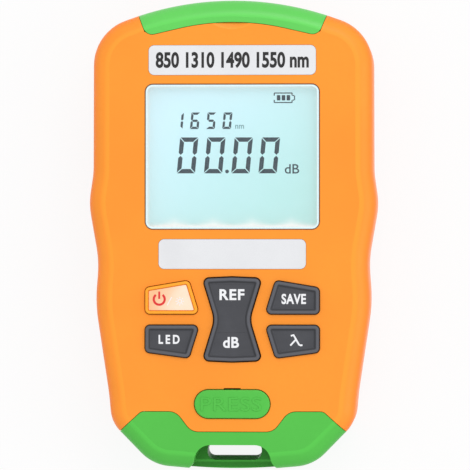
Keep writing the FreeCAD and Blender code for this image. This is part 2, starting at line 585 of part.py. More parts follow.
def rear_shell():
    body = new_body("rear_shell")
    blank = pad(body, "back_block", [case_outline()], "0", "parting_height")
    round_edges(body, "back_edge", blank, "back_round", at_height("0"))
    pocket(body, "cavity", [case_outline("side_wall")], "back_wall", "parting_height + 1")
    pad(body, "seam_lip", [case_outline("side_wall / 2 + seam_gap"), case_outline("side_wall")],
        "parting_height - 1", "parting_height + lip_height")
    pad(body, "bosses", circles(CASE_BOSSES, "boss_radius"), "back_wall / 2", "parting_height")
    pad(body, "bay_walls", BAY_WALLS, "back_wall / 2", "parting_height")
    ear = (f"{HINGE_Y} - barrel_radius", f"{HINGE_Y} + ear_reach")
    pad(body, "ears", [box("tongue_half + seam_gap", "tongue_half + seam_gap + ear_width", *ear),
                       box("-tongue_half - seam_gap - ear_width", "-tongue_half - seam_gap", *ear)],
        "back_wall / 2", "hinge_height + barrel_radius")
    block(body, "tongue_notch", ("-tongue_half - seam_gap", "tongue_half + seam_gap"),
          (f"{HINGE_Y} - barrel_radius - seam_gap", "crown_apex + 1"),
          ("-1", "parting_height + lip_height + 1"),
          cut=True)
    pocket(body, "lip_gap", [cover_outline("seam_gap")], "parting_height", "parting_height + lip_height + 1")
    rod(body, "pin_bore", "X", (HINGE_Y, "hinge_height"),
        ("-tongue_half - ear_width", "tongue_half + ear_width"),
        "pin_radius", cut=True)
    pocket(body, "cap_cut", [cap_line("seam_gap")], "-1", "parting_height + lip_height + 1")
    cap_tabs(body, "back_wall + slide_gap", "back_wall + slide_gap + tab_wall", "back_wall / 2")
    pocket(body, "screw_bores", circles(CASE_BOSSES, "screw_radius + screw_clearance"), "-1",
           "parting_height + 1")
    pocket(body, "head_bores", circles(CASE_BOSSES, "screw_head + head_clearance"), "-1", "screw_seat")


def port_cover():
    body = new_body("port_cover")
    pad(body, "plan_block", [cover_outline()], COVER_FOOT, "case_depth")
    rim = centred("4 * grip_half", "4 * crown_apex", 0)
    trim = pocket(body, "crown_trim", [rim, case_outline()], f"{COVER_FOOT} - 1", "case_depth + 1")
    round_edges(body, "crown_edge", trim, "face_round", at_height("case_depth", on_crown_arc(0)))
    hollow = pocket(body, "hollow", [case_outline("cover_wall")], f"{COVER_FOOT} - 1",
                    "case_depth - cover_wall")
    round_edges(body, "inner_edge", hollow, "face_round - cover_wall",
                at_height("case_depth - cover_wall", on_crown_arc("cover_wall")))
    pad(body, "tongue", [crown_strip("tongue_half", "cover_wall")], "hinge_height", f"{COVER_FOOT} + overlap")
    rod(body, "barrel", "X", (HINGE_Y, "hinge_height"), ("-tongue_half", "tongue_half"), "barrel_radius")
    rod(body, "pin_bore", "X", (HINGE_Y, "hinge_height"), ("-tongue_half - 1", "tongue_half + 1"),
        "pin_radius + running_fit", cut=True)


def cover_hinge_pin():
    body = new_body("cover_hinge_pin")
    rod(body, "pin", "X", (HINGE_Y, "hinge_height"), ("-tongue_half - ear_width", "tongue_half + ear_width"),
        "pin_radius")


# ---------------------------------------------------------------- end cap, latch and button
def end_cap():
    body = new_body("end_cap")
    blank = pad(body, "cap_block", [case_outline()], "0", "case_depth")
    face = round_edges(body, "face_edge", blank, "face_round", at_height("case_depth"))
    round_edges(body, "back_edge", face, "back_round", at_height("0"))
    pocket(body, "parting", [cap_line(0, keep_cap=False)], "-1", "case_depth + 1")
    pocket(body, "cavity", [cap_cavity()], "back_wall", FACE_IN)
    block(body, "contact_carrier", ("-cell_pitch - cell_radius", "cell_pitch + cell_radius"),
          ("-cap_floor_drop - 1", "-cap_floor_drop + carrier_wall"),
          ("cell_height - cell_radius + carrier_low_inset", "cell_height + cell_radius - carrier_high_inset"))
    block(body, "latch_tongue", ("-latch_half", "latch_half"), ("-cap_floor_drop - 1", "-latch_tip_drop"),
          (LATCH_FOOT, LATCH_TOP))
    block(body, "latch_window", ("-hook_half - 2 * hook_gap", "hook_half + 2 * hook_gap"),
          ("-button_drop - plunger_wall / 2 - hook_gap", "-latch_tip_drop - latch_bar"),
          (f"{LATCH_FOOT} - 1", f"{LATCH_TOP} + 1"), cut=True)
    cut_lanyard_bar(body)


def cut_lanyard_bar(body):
    """Scoops in the face and the back of the cap's foot, and the slot that leaves a bar between them."""
    scoop = mirrored([("scoop_top_half", "-loop_top_drop", "scoop_round"),
                      ("scoop_foot_half", "-scoop_foot_drop", "scoop_foot_round"),
                      ("scoop_foot_half + scoop_flare", "-base_apex - 2", 0)])
    pocket(body, "front_scoop", [scoop], "bar_front", "case_depth + 1")
    pocket(body, "rear_scoop", [scoop], "-1", "bar_back")
    half_slot = "(loop_foot_drop - loop_top_drop) / 2"
    slot = box("-loop_half", "loop_half", "-loop_foot_drop", "-loop_top_drop", f"{half_slot} - 0.01")
    mouth = box("-loop_half", "loop_half", "-loop_foot_drop - bar_slope", "-loop_top_drop",
                f"{half_slot} + bar_slope / 2 - 0.01")
    pocket(body, "lanyard_slot", [slot], "-1", "case_depth + 1")
    sink(body, "bar_slope", mouth, slot, "bar_front", "bar_slope_depth")


def cap_cavity():
    """Hollow of the end cap: shallow behind the lanyard bar and deep on both sides of it."""
    inner = case_outline("cap_wall")
    foot, keel = inner[7], inner[8]
    right = [("taper_half - cap_wall", "-taper_drop", 0), foot, keel,
             ("cap_pocket_inner", keel[1], "pocket_round"),
             ("cap_pocket_inner", "-cap_floor_drop", "pocket_round")]
    return mirrored(right)


def cap_contact_plate():
    """Strip that joins the cells' lower ends, with a round spring seat against each."""
    body = new_body("cap_contact_plate")
    seat = "-cap_floor_drop + carrier_wall"
    block(body, "strip", ("-cell_pitch - spring_radius", "cell_pitch + spring_radius"),
          (seat, f"{seat} + contact_wall"), ("cell_height - spring_radius", "cell_height + spring_radius"))
    for name, step in CELLS:
        rod(body, f"spring_{name}", "Y", (f"{step} * cell_pitch", "cell_height"),
            (f"{seat} + contact_wall", "-cell_foot_drop - contact_gap"), "spring_seat")


def release_button():
    body = new_body("release_button")
    plan = ("button_width", "button_height", "-button_drop", "button_height / 2 - 0.01")
    top = pad(body, "button_pad", [centred(*plan)], f"{FLANGE_TOP} - key_flange_wall",
              "case_depth + button_proud")
    round_edges(body, "button_edge", top, "key_edge", at_height("case_depth + button_proud"))
    pad(body, "flange", [centred(*plan, growth="key_flange")], f"{FLANGE_TOP} - key_flange_wall", FLANGE_TOP)
    block(body, "flange_notch", ("-notch_width / 2 - notch_margin", "notch_width / 2 + notch_margin"),
          ("-button_drop + button_height / 2", "-button_drop + button_height / 2 + key_flange + 1"),
          (f"{FLANGE_TOP} - key_flange_wall - 1", f"{FLANGE_TOP} + key_flange_gap"), cut=True)
    block(body, "plunger", ("-plunger_half", "plunger_half"),
          ("-button_drop - plunger_wall / 2", "-button_drop + plunger_wall / 2"),
          (f"{LATCH_TOP} + plunger_lift", f"{FLANGE_TOP} - key_flange_wall"))


def latch_spring():
    """Leaf across the case, held at one end, with a hook that stands in the cap's tongue."""
    body = new_body("latch_spring")
    block(body, "leaf", ("-leaf_root - leaf_width / 2", "leaf_tail"),
          ("-button_drop - leaf_width / 2", "-button_drop + leaf_width / 2"),
          (LEAF_FOOT, LEAF_TOP))
    block(body, "hook", ("-hook_half", "hook_half"),
          ("-button_drop - hook_wall / 2", "-button_drop + hook_wall / 2"),
          (f"{LEAF_TOP} - leaf_wall / 2", f"{LATCH_TOP} - hook_sink"))
    rod(body, "screw_hole", "Z", ("-leaf_root", "-button_drop"), (f"{LEAF_FOOT} - 1", f"{LEAF_TOP} + 1"),
        "latch_screw_radius + running_fit", cut=True)


def latch_screw():
    body = new_body("latch_screw")
    centre = ("-leaf_root", "-button_drop")
    rod(body, "shank", "Z", centre, (LEAF_FOOT, f"{LEAF_FOOT} + latch_screw_length"), "latch_screw_radius")
    rod(body, "head", "Z", centre, (f"{LEAF_FOOT} - latch_screw_wall", LEAF_FOOT),
        "latch_screw_radius + latch_screw_rim")


# ---------------------------------------------------------------- keys
def key(label, plan, centre, side, bevel="key_bevel"):
    """Silicone key with a flange under the face, a sunk pad on top and a plunger below."""
    body = new_body(label)
    top = pad(body, "cap", [plan], f"{KEY_TOP} - key_body", KEY_TOP)
    round_edges(body, "cap_edge", top, "key_edge", at_height(KEY_TOP))
    pad(body, "flange", [grown(plan, "key_flange")], f"{FLANGE_TOP} - key_flange_wall", FLANGE_TOP)
    sink(body, "dish", grown(plan, "-key_rim"), grown(plan, f"-key_rim - {bevel}"), KEY_TOP, "dish_depth")
    rod(body, "plunger", "Z", (f"{side} * ({centre[0]})", centre[1]),
        (f"{BOARD_TOP} + mat_wall + key_travel + plunger_gap", f"{KEY_TOP} - key_body"), "plunger_radius")
    return body


def power_key_panel():
    """Pale panel that lies in the power key's dish."""
    body = new_body("power_key_panel")
    plan = upper_key(-1)
    pad(body, "panel", [grown(plan, "-panel_inset")], f"{KEY_TOP} - dish_depth",
        f"{KEY_TOP} - dish_depth / 2")


def ref_db_rocker():
    body = new_body("ref_db_rocker")
    plan = rocker_outline()
    top = pad(body, "cap", [plan], f"{KEY_TOP} - key_body", KEY_TOP)
    round_edges(body, "cap_edge", top, "key_edge", at_height(KEY_TOP))
    for name, side in (("upper", 1), ("lower", -1)):
        sink(body, f"{name}_dish", grown(rocker_pad(side), "-key_rim"),
             grown(rocker_pad(side), "-key_rim - key_bevel"),
             KEY_TOP, "dish_depth")
        rod(body, f"{name}_plunger", "Z", ("0", f"{ROCKER_MIDDLE} + {side} * {ROCKER_REACH}"),
            (f"{BOARD_TOP} + mat_wall + key_travel + plunger_gap", f"{KEY_TOP} - key_body"), "plunger_radius")
    rod(body, "stubs", "X", (ROCKER_MIDDLE, STUB_AXIS),
        ("-rocker_waist - stub_length", "rocker_waist + stub_length"), "stub_radius")


def keypad_mat():
    """Sheet on the board, open over each snap dome, with two saddles under the rocker's stubs."""
    body = new_body("keypad_mat")
    block(body, "sheet", ("-key_outer", "key_outer"),
          ("-lower_inner_drop - mat_margin", "-rocker_top_drop + mat_margin"),
          (BOARD_TOP, f"{BOARD_TOP} + mat_wall"))
    pocket(body, "dome_holes", [(x, y, "dome_radius + dome_clearance") for x, y in DOMES], f"{BOARD_TOP} - 1",
           f"{BOARD_TOP} + mat_wall + 1")
    for name, low in (("right", "rocker_waist + saddle_gap"),
                      ("left", "-rocker_waist - saddle_gap - saddle_width")):
        block(body, f"saddle_{name}", (low, f"{low} + saddle_width"),
              (f"{ROCKER_MIDDLE} - saddle_half", f"{ROCKER_MIDDLE} + saddle_half"),
              (f"{BOARD_TOP} + mat_wall / 2", f"{STUB_AXIS} - stub_radius - saddle_play"))


def switch_domes():
    body = new_body("switch_domes")
    for number, (x, y) in enumerate(DOMES):
        dome = body.newObject("PartDesign::AdditiveCone", f"dome_{number}")
        attach(dome, body, "XY_Plane", (x, y, BOARD_TOP))
        bind(dome, "Radius1", "dome_radius")
        bind(dome, "Radius2", "dome_radius * dome_taper")
        bind(dome, "Height", "dome_height")


# ---------------------------------------------------------------- plates, window and display
def plate(label, width, middle):
    body = new_body(label)
    pad(body, "sheet", [centred(width, "plate_height", middle, "plate_round")], "case_depth - plate_wall",
        "case_depth + plate_proud")


def display_window():
    body = new_body("display_window")
    pad(body, "pane", [centred("window_width", "window_height", "window_rise", "window_round")],
        "case_depth - window_wall - trim_gap", "case_depth - trim_gap")


def lcd_frame():
    body = new_body("lcd_frame")
    size = ("frame_width", "frame_height", "window_rise")
    pad(body, "outer", [centred(*size, "window_round")], BOARD_TOP, f"{FACE_IN} - gasket_wall")
    pocket(body, "panel_well", [centred(*size, growth="-frame_wall")], f"{PANEL_FOOT} - panel_clearance",
           FACE_IN)
    pocket(body, "guide_well", [centred(*size, growth="-frame_wall - panel_ledge")], f"{BOARD_TOP} - 1",
           FACE_IN)


def lcd_gasket():
    body = new_body("lcd_gasket")
    size = ("frame_width", "frame_height", "window_rise")
    pad(body, "ring", [centred(*size, growth="-gasket_inset"),
                       centred(*size, growth="-frame_wall - gasket_width")],
        f"{FACE_IN} - gasket_wall", FACE_IN)


def lcd_panel():
    body = new_body("lcd_panel")
    size = ("frame_width", "frame_height", "window_rise")
    pad(body, "glass", [centred(*size, growth="-frame_wall - trim_gap")], PANEL_FOOT,
        f"{FACE_IN} - gasket_wall")


GUIDE_TOP = "window_rise + frame_height / 2 - frame_wall - guide_inset - strip_width"
GUIDE_FOOT = "window_rise - frame_height / 2 + frame_wall + lamp_row"
GUIDE_HALF = "frame_width / 2 - frame_wall - guide_inset"


def backlight_guide():
    body = new_body("backlight_guide")
    block(body, "slab", (f"-({GUIDE_HALF})", GUIDE_HALF), (GUIDE_FOOT, f"{GUIDE_TOP} - guide_gap"),
          (BOARD_TOP, f"{PANEL_FOOT} - guide_gap"))


def backlight_lamps():
    body = new_body("backlight_lamps")
    for number in range(4):
        middle = f"({number} - 1.5) * frame_width / 5"
        block(body, f"lamp_{number}", (f"{middle} - lamp_half", f"{middle} + lamp_half"),
              (f"{GUIDE_FOOT} - lamp_gap - lamp_depth", f"{GUIDE_FOOT} - lamp_gap"),
              (BOARD_TOP, f"{BOARD_TOP} + lamp_height"))


def connector_strip():
    body = new_body("connector_strip")
    block(body, "strip", (f"-({GUIDE_HALF}) + strip_inset", f"{GUIDE_HALF} - strip_inset"),
          (GUIDE_TOP, f"{GUIDE_TOP} + strip_width - panel_clearance"),
          (BOARD_TOP, PANEL_FOOT))


# ---------------------------------------------------------------- boards
def main_board():
    body = new_body("main_board")
    right = [("board_half", BOARD_END), ("board_half", "-board_step_drop"),
             ("board_waist_half", "-board_step_drop"), ("board_waist_half", "-board_drop")]
    pad(body, "laminate", [mirrored([(x, y, "board_round") for x, y in right])], BOARD_FOOT, BOARD_TOP)
    pocket(body, "screw_holes", circles(BOARD_POSTS, "board_screw_radius + screw_clearance"),
           f"{BOARD_FOOT} - 1",
           f"{BOARD_TOP} + 1")


def chip(label, x, y, width, height, thickness):
    """Component under the board, about (x, y)."""
    body = new_body(label)
    block(body, "package", (f"{x} - {width} / 2", f"{x} + {width} / 2"),
          (f"{y} - {height} / 2", f"{y} + {height} / 2"), (f"{BOARD_FOOT} - {thickness}", BOARD_FOOT))


def screw_group(label, places, seat, length, radius, head, head_wall):
    """Pan-head screws as one node, driven upwards from below the seat."""
    body = new_body(label)
    pad(body, "shanks", circles(places, radius), f"{seat} - 0.2", f"{seat} + {length}")
    pad(body, "heads", circles(places, head), f"{seat} - {head_wall}", seat)


# ---------------------------------------------------------------- port bay
def port_bulkhead():
    body = new_body("port_bulkhead")
    half = "bay_half - bulkhead_side_gap"
    block(body, "wall", (f"-({half})", half), ("bulkhead_rise", BULKHEAD_FACE), ("back_wall", FACE_IN))
    rod(body, "port_hole", "Y", ("-port_offset", PORT_AXIS), ("bulkhead_rise - 1", f"{BULKHEAD_FACE} + 1"),
        "barrel_outer + fit_gap", cut=True)
    rod(body, "torch_hole", "Y", ("port_offset", PORT_AXIS), ("bulkhead_rise - 1", f"{BULKHEAD_FACE} + 1"),
        "torch_tube + fit_gap", cut=True)


ADAPTER_TIP = f"({BULKHEAD_FACE} + adapter_flange_wall + adapter_reach)"
ADAPTER_TAIL = "(bulkhead_rise - adapter_neck)"


def optical_adapter():
    """Turned body: a flange on the bulkhead, a barrel for the connector and a neck for the nut."""
    body = new_body("optical_adapter")
    centre = ("-port_offset", PORT_AXIS)
    rod(body, "barrel", "Y", centre, (ADAPTER_TAIL, ADAPTER_TIP), "barrel_outer")
    rod(body, "flange", "Y", centre, (BULKHEAD_FACE, f"{BULKHEAD_FACE} + adapter_flange_wall"),
        "adapter_flange")
    rod(body, "sleeve_bore", "Y", centre, (f"{ADAPTER_TAIL} - 1", f"{ADAPTER_TIP} - adapter_lip"),
        "ferrule_radius + sleeve_wall + fit_gap", cut=True)
    rod(body, "mouth", "Y", centre, (f"{ADAPTER_TIP} - 2 * adapter_lip", f"{ADAPTER_TIP} + 1"),
        "ferrule_radius + fit_gap", cut=True)
    block(body, "key_slot", ("-port_offset - key_slot_half", "-port_offset + key_slot_half"),
          (f"{ADAPTER_TIP} - key_slot_length", f"{ADAPTER_TIP} + 1"),
          (f"{PORT_AXIS} + barrel_outer - key_slot_depth", f"{PORT_AXIS} + barrel_outer + 1"), cut=True)


def alignment_sleeve():
    body = new_body("alignment_sleeve")
    centre = ("-port_offset", PORT_AXIS)
    span = (f"{ADAPTER_TIP} - adapter_lip - adapter_sleeve_length", f"{ADAPTER_TIP} - adapter_lip")
    rod(body, "tube", "Y", centre, span, "ferrule_radius + sleeve_wall")
    rod(body, "bore", "Y", centre, (f"{span[0]} - 1", f"{span[1]} + 1"), "ferrule_radius", cut=True)


def adapter_nut():
    body = new_body("adapter_nut")
    corners = []
    for step in range(6):
        angle = math.radians(60 * step)
        corners.append((-val("port_offset") + val("nut_radius") * math.cos(angle),
                        val(PORT_AXIS) + val("nut_radius") * math.sin(angle), "pad_round"))
    sketch = new_sketch(body, "hexagon", [corners], "-bulkhead_rise", "XZ_Plane")
    feature = body.newObject("PartDesign::Pad", "hexagon_pad")
    feature.Profile = sketch
    bind(feature, "Length", "nut_height")
    rod(body, "thread", "Y", ("-port_offset", PORT_AXIS),
        ("bulkhead_rise - nut_height - 1", "bulkhead_rise + 1"),
        "barrel_outer + fit_gap", cut=True)


CAN_FOOT = f"({ADAPTER_TAIL} - panel_clearance - can_length)"
LEADS = (("-lead_pitch", "0"), ("lead_pitch", "0"), ("0", "-lead_pitch"))


def photodiode():
    body = new_body("photodiode")
    centre = ("-port_offset", PORT_AXIS)
    rod(body, "can", "Y", centre, (CAN_FOOT, f"{CAN_FOOT} + can_length"), "can_radius")
    rod(body, "base", "Y", centre, (f"{CAN_FOOT} - can_rim_wall", CAN_FOOT), "can_rim_radius")
    for number, (x, z) in enumerate(LEADS):
        rod(body, f"lead_{number}", "Y", (f"-port_offset + {x}", f"{PORT_AXIS} + {z}"),
            (f"{CAN_FOOT} - can_rim_wall - lead_length", f"{CAN_FOOT} - can_rim_wall"), "lead_radius")


def detector_board():
    """Small board that carries the photodiode and hangs from the main board."""
    body = new_body("detector_board")
    face = f"{CAN_FOOT} - can_rim_wall - detector_gap"
    block(body, "laminate", ("-port_offset - detector_half", "-port_offset + detector_half"),
          (f"{face} - detector_wall", face), (f"{PORT_AXIS} - detector_drop", BOARD_FOOT))
    for number, (x, z) in enumerate(LEADS):
        rod(body, f"hole_{number}", "Y", (f"-port_offset + {x}", f"{PORT_AXIS} + {z}"),
            (f"{face} - detector_wall - 1", f"{face} + 1"), "lead_hole", cut=True)


def torch_bezel():
    body = new_body("torch_bezel")
    centre = ("port_offset", PORT_AXIS)
    rod(body, "tube", "Y", centre, (f"{BULKHEAD_FACE} - torch_tube_depth", BULKHEAD_FACE), "torch_tube")
    rod(body, "flange", "Y", centre, (BULKHEAD_FACE, f"{BULKHEAD_FACE} + torch_flange_wall"), "torch_flange")
    rod(body, "bore", "Y", centre,
        (f"{BULKHEAD_FACE} - torch_tube_depth - 1", f"{BULKHEAD_FACE} + torch_flange_wall + 1"),
        "torch_bore", cut=True)


def torch_lamp():
    """Round-nosed lamp with its rim behind the bezel."""
    body = new_body("torch_lamp")
    centre = ("port_offset", PORT_AXIS)
    back = f"{BULKHEAD_FACE} - torch_tube_depth"
    rod(body, "rim", "Y", centre, (back, f"{back} + lamp_rim_wall"), "lamp_rim")
    nose = rod(body, "nose", "Y", centre, (back, f"{back} + lamp_length"), "lamp_radius")
    tip = val(f"{back} + lamp_length")
    round_edges(body, "nose_round", nose, "lamp_radius - 0.02",
                lambda edge: abs(edge.BoundBox.YMin - tip) < 1e-4 and abs(edge.BoundBox.YMax - tip) < 1e-4)
    for number, side in enumerate((-1, 1)):
        rod(body, f"lead_{number}", "Y", (f"port_offset + {side} * lamp_lead_half", PORT_AXIS),
            (f"{back} - lamp_lead", back), "lamp_lead_radius")


# ---------------------------------------------------------------- batteries
SLEEVE_HALF = "cell_pitch + cell_radius + cell_gap + sleeve_skin"
CELL_TOP = "-cell_foot_drop + cell_length"


def battery_sleeve():
    body = new_body("battery_sleeve")
    block(body, "block", (f"-({SLEEVE_HALF})", SLEEVE_HALF),
          ("-sleeve_mouth_drop", f"{CELL_TOP} + contact_gap + contact_wall + sleeve_end"),
          ("back_wall", "cell_height + cell_radius + cell_gap + sleeve_skin"))
    for name, step in CELLS:
        rod(body, f"bore_{name}", "Y", (f"{step} * cell_pitch", "cell_height"),
            ("-sleeve_mouth_drop - 1", f"{CELL_TOP} + contact_gap + contact_wall"),
            "cell_radius + cell_gap", cut=True)


def battery_cell(name, step):
    body = new_body(f"battery_cell_{name}")
    centre = (f"{step} * cell_pitch", "cell_height")
    rod(body, "can", "Y", centre, ("-cell_foot_drop", f"{CELL_TOP} - nub_height"), "cell_radius")
    rod(body, "nub", "Y", centre, (f"{CELL_TOP} - nub_height", CELL_TOP), "nub_radius")


def battery_contacts():
    """Plates at the closed end of the sleeve."""
    body = new_body("battery_contacts")
    for name, step in CELLS:
        rod(body, f"plate_{name}", "Y", (f"{step} * cell_pitch", "cell_height"),
            (f"{CELL_TOP} + contact_gap", f"{CELL_TOP} + contact_gap + contact_wall"), "contact_radius")


# ---------------------------------------------------------------- assembly
def build():
    front_shell()
    rear_shell()
    port_cover()
    cover_hinge_pin()
    end_cap()
    cap_contact_plate()
    release_button()
    latch_spring()
    latch_screw()
    key("power_key", upper_key(-1), UPPER_KEY_CENTRE, -1, "panel_bevel")
    power_key_panel()
    key("save_key", upper_key(1), UPPER_KEY_CENTRE, 1)
    key("led_key", lower_key(-1), LOWER_KEY_CENTRE, -1)
    key("wavelength_key", lower_key(1), LOWER_KEY_CENTRE, 1)
    ref_db_rocker()
    keypad_mat()
    switch_domes()
    plate("title_plate", "title_width", "title_rise")
    plate("blank_plate", "blank_width", "-blank_drop")
    display_window()
    lcd_frame()
    lcd_gasket()
    lcd_panel()
    backlight_guide()
    backlight_lamps()
    connector_strip()
    main_board()
    chip("controller_chip", "0", "-controller_drop", "controller_width", "controller_width",
         "controller_wall")
    chip("amplifier_chip", "-port_offset", "amplifier_rise", "amplifier_width", "amplifier_height",
         "amplifier_wall")
    screw_group("board_screws", BOARD_POSTS, BOARD_FOOT, "board_wall + board_screw_bite",
                "board_screw_radius",
                "board_screw_head", "board_screw_wall")
    screw_group("case_screws", CASE_BOSSES, "screw_seat", "screw_length", "screw_radius", "screw_head",
                "screw_head_wall")
    port_bulkhead()
    optical_adapter()
    alignment_sleeve()
    adapter_nut()
    photodiode()
    detector_board()
    torch_bezel()
    torch_lamp()
    battery_sleeve()
    for name, step in CELLS:
        battery_cell(name, step)
    battery_contacts()


def check():
    """Stop with a plain message if any object of the document failed."""
    document.recompute()
    for item in document.Objects:
        if any(word in state for state in item.State for word in ("Invalid", "Error")):
            raise RuntimeError(f"{item.Name} ({item.Label}) failed: {item.State}")
    for body in PARTS:
        if body.Shape.isNull() or not body.Shape.isValid():
            raise RuntimeError(f"{body.Label} has no valid shape")


def export():
    os.makedirs("parts", exist_ok=True)
    for body in PARTS:
        body.Shape.exportStep(f"parts/{body.Label}.step")
        print(f"{body.Label}: {len(body.Shape.Solids)} solid(s), {body.Shape.Volume / 1000:.3f} cm3")


build()
check()
export()
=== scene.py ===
"""Looks of a handheld optical power meter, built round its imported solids.

The meter lies on its back: +Z points out of the face, +Y to the end with the optical port. A length is in
millimetres where nothing else is said, and becomes the model's metres where it enters a mesh or a node. Each
sub-assembly is a class that dresses its own solids and adds the pieces that the solids leave out.
"""
import logging
import math
from dataclasses import dataclass, field
from enum import Enum
from typing import ClassVar, Iterable, Sequence, Union

import bmesh
import bpy
from bpy.types import ID, Material, Mesh, Node, NodeSocket, NodeTree, Object
from mathutils import Matrix, Vector


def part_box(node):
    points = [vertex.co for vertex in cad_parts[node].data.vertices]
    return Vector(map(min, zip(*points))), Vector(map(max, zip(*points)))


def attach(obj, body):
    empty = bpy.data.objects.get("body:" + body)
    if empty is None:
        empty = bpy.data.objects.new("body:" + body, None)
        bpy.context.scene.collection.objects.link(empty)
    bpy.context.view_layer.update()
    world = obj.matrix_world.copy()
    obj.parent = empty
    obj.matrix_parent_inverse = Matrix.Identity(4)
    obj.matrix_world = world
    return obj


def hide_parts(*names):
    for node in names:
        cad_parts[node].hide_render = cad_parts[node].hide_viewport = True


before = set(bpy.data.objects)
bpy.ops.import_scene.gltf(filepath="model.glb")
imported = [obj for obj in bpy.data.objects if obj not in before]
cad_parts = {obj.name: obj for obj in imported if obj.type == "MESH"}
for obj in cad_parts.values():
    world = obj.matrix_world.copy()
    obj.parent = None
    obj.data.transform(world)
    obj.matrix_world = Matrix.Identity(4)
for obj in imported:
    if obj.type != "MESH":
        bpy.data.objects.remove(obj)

LOG = logging.getLogger("optical_power_meter")
MM = 0.001
Point = tuple[float, float]
Triple = tuple[float, float, float]
Colour = Triple
Outline = list[Point]
Value = Union["Signal", float]


def srgb(red: int, green: int, blue: int) -> Colour:
    """Colour in linear light from display values between 0 and 255."""
    levels = (red / 255, green / 255, blue / 255)
    return tuple(level / 12.92 if level <= 0.04045 else ((level + 0.055) / 1.055) ** 2.4 for level in levels)


def shaded(colour: Colour, factor: float) -> Colour:
    """The colour made darker or lighter by a factor."""
    return colour[0] * factor, colour[1] * factor, colour[2] * factor


# ---- node trees
class Signal:
    """A number that flows through a node tree, with Python's arithmetic on it."""

    def __init__(self, graph: "Graph", socket: NodeSocket) -> None:
        """Wrap an output socket of a tree."""
        self.graph = graph
        self.socket = socket

    def _math(self, operation: str, first: Value, second: Value) -> "Signal":
        """Result of one Math node."""
        return self.graph.signal("ShaderNodeMath", {0: first, 1: second}, {"operation": operation})

    def __add__(self, other: Value) -> "Signal":
        """Sum of the signal and a value."""
        return self._math("ADD", self, other)

    def __radd__(self, other: float) -> "Signal":
        """Sum of a value and the signal."""
        return self._math("ADD", other, self)

    def __sub__(self, other: Value) -> "Signal":
        """Signal less a value."""
        return self._math("SUBTRACT", self, other)

    def __rsub__(self, other: float) -> "Signal":
        """Value less the signal."""
        return self._math("SUBTRACT", other, self)

    def __mul__(self, other: Value) -> "Signal":
        """Product of the signal and a value."""
        return self._math("MULTIPLY", self, other)

    def __rmul__(self, other: float) -> "Signal":
        """Product of a value and the signal."""
        return self._math("MULTIPLY", other, self)

    def __truediv__(self, other: Value) -> "Signal":
        """Signal divided by a value."""
        return self._math("DIVIDE", self, other)

    def __pow__(self, other: float) -> "Signal":
        """Signal raised to a power."""
        return self._math("POWER", self, other)

    def larger(self, other: Value) -> "Signal":
        """The larger of the signal and a value."""
        return self._math("MAXIMUM", self, other)

    def smaller(self, other: Value) -> "Signal":
        """The smaller of the signal and a value."""
        return self._math("MINIMUM", self, other)

    def size(self) -> "Signal":
        """The signal without its sign."""
        return self._math("ABSOLUTE", self, 0.0)

    def ramp(self, low: float, high: float) -> "Signal":
        """Smooth step from 0 where the signal is low to 1 where it is high.

        Args:
            low: Value at which the step starts.
            high: Value at which it is complete.

        Returns:
            The stepped signal.
        """
        settings = {"interpolation_type": "SMOOTHSTEP", "clamp": True}
        inputs = {"Value": self, "From Min": low, "From Max": high}
        return self.graph.signal("ShaderNodeMapRange", inputs, settings)

    def within(self, rise: Point, fall: Point) -> "Signal":
        """1 between a smooth rise and a smooth fall, each from one value to another, and 0 elsewhere."""
        return self.ramp(*rise) * (1 - self.ramp(*fall))


class Graph:
    """One node tree under construction."""

    def __init__(self, tree: NodeTree) -> None:
        """Start on a tree and clear what it holds."""
        self.tree = tree
        tree.nodes.clear()

    def node(self, kind: str, inputs: dict | None = None, settings: dict | None = None) -> Node:
        """Add a node.

        Args:
            kind: Type name of the node.
            inputs: What feed() takes, by the name or number of the input.
            settings: Properties of the node, which are set before its inputs.

        Returns:
            The new node.
        """
        made = self.tree.nodes.new(kind)
        for name, setting in (settings or {}).items():
            setattr(made, name, setting)
        for key, value in (inputs or {}).items():
            self.feed(made.inputs[key], value)
        return made

    def signal(self, kind: str, inputs: dict | None = None, settings: dict | None = None,
               output: int | str = 0) -> Signal:
        """Add a node as node() does, and carry on with one of its outputs."""
        return Signal(self, self.node(kind, inputs, settings).outputs[output])

    def feed(self, socket: NodeSocket, value: object) -> None:
        """Link or set one input.

        Args:
            socket: Input socket.
            value: Signal, output socket, node whose first output is meant, or plain value.
        """
        if isinstance(value, Signal):
            value = value.socket
        elif isinstance(value, Node):
            value = value.outputs[0]
        if isinstance(value, NodeSocket):
            self.tree.links.new(value, socket)
        else:
            socket.default_value = (*value, 1.0) if socket.type == "RGBA" else value


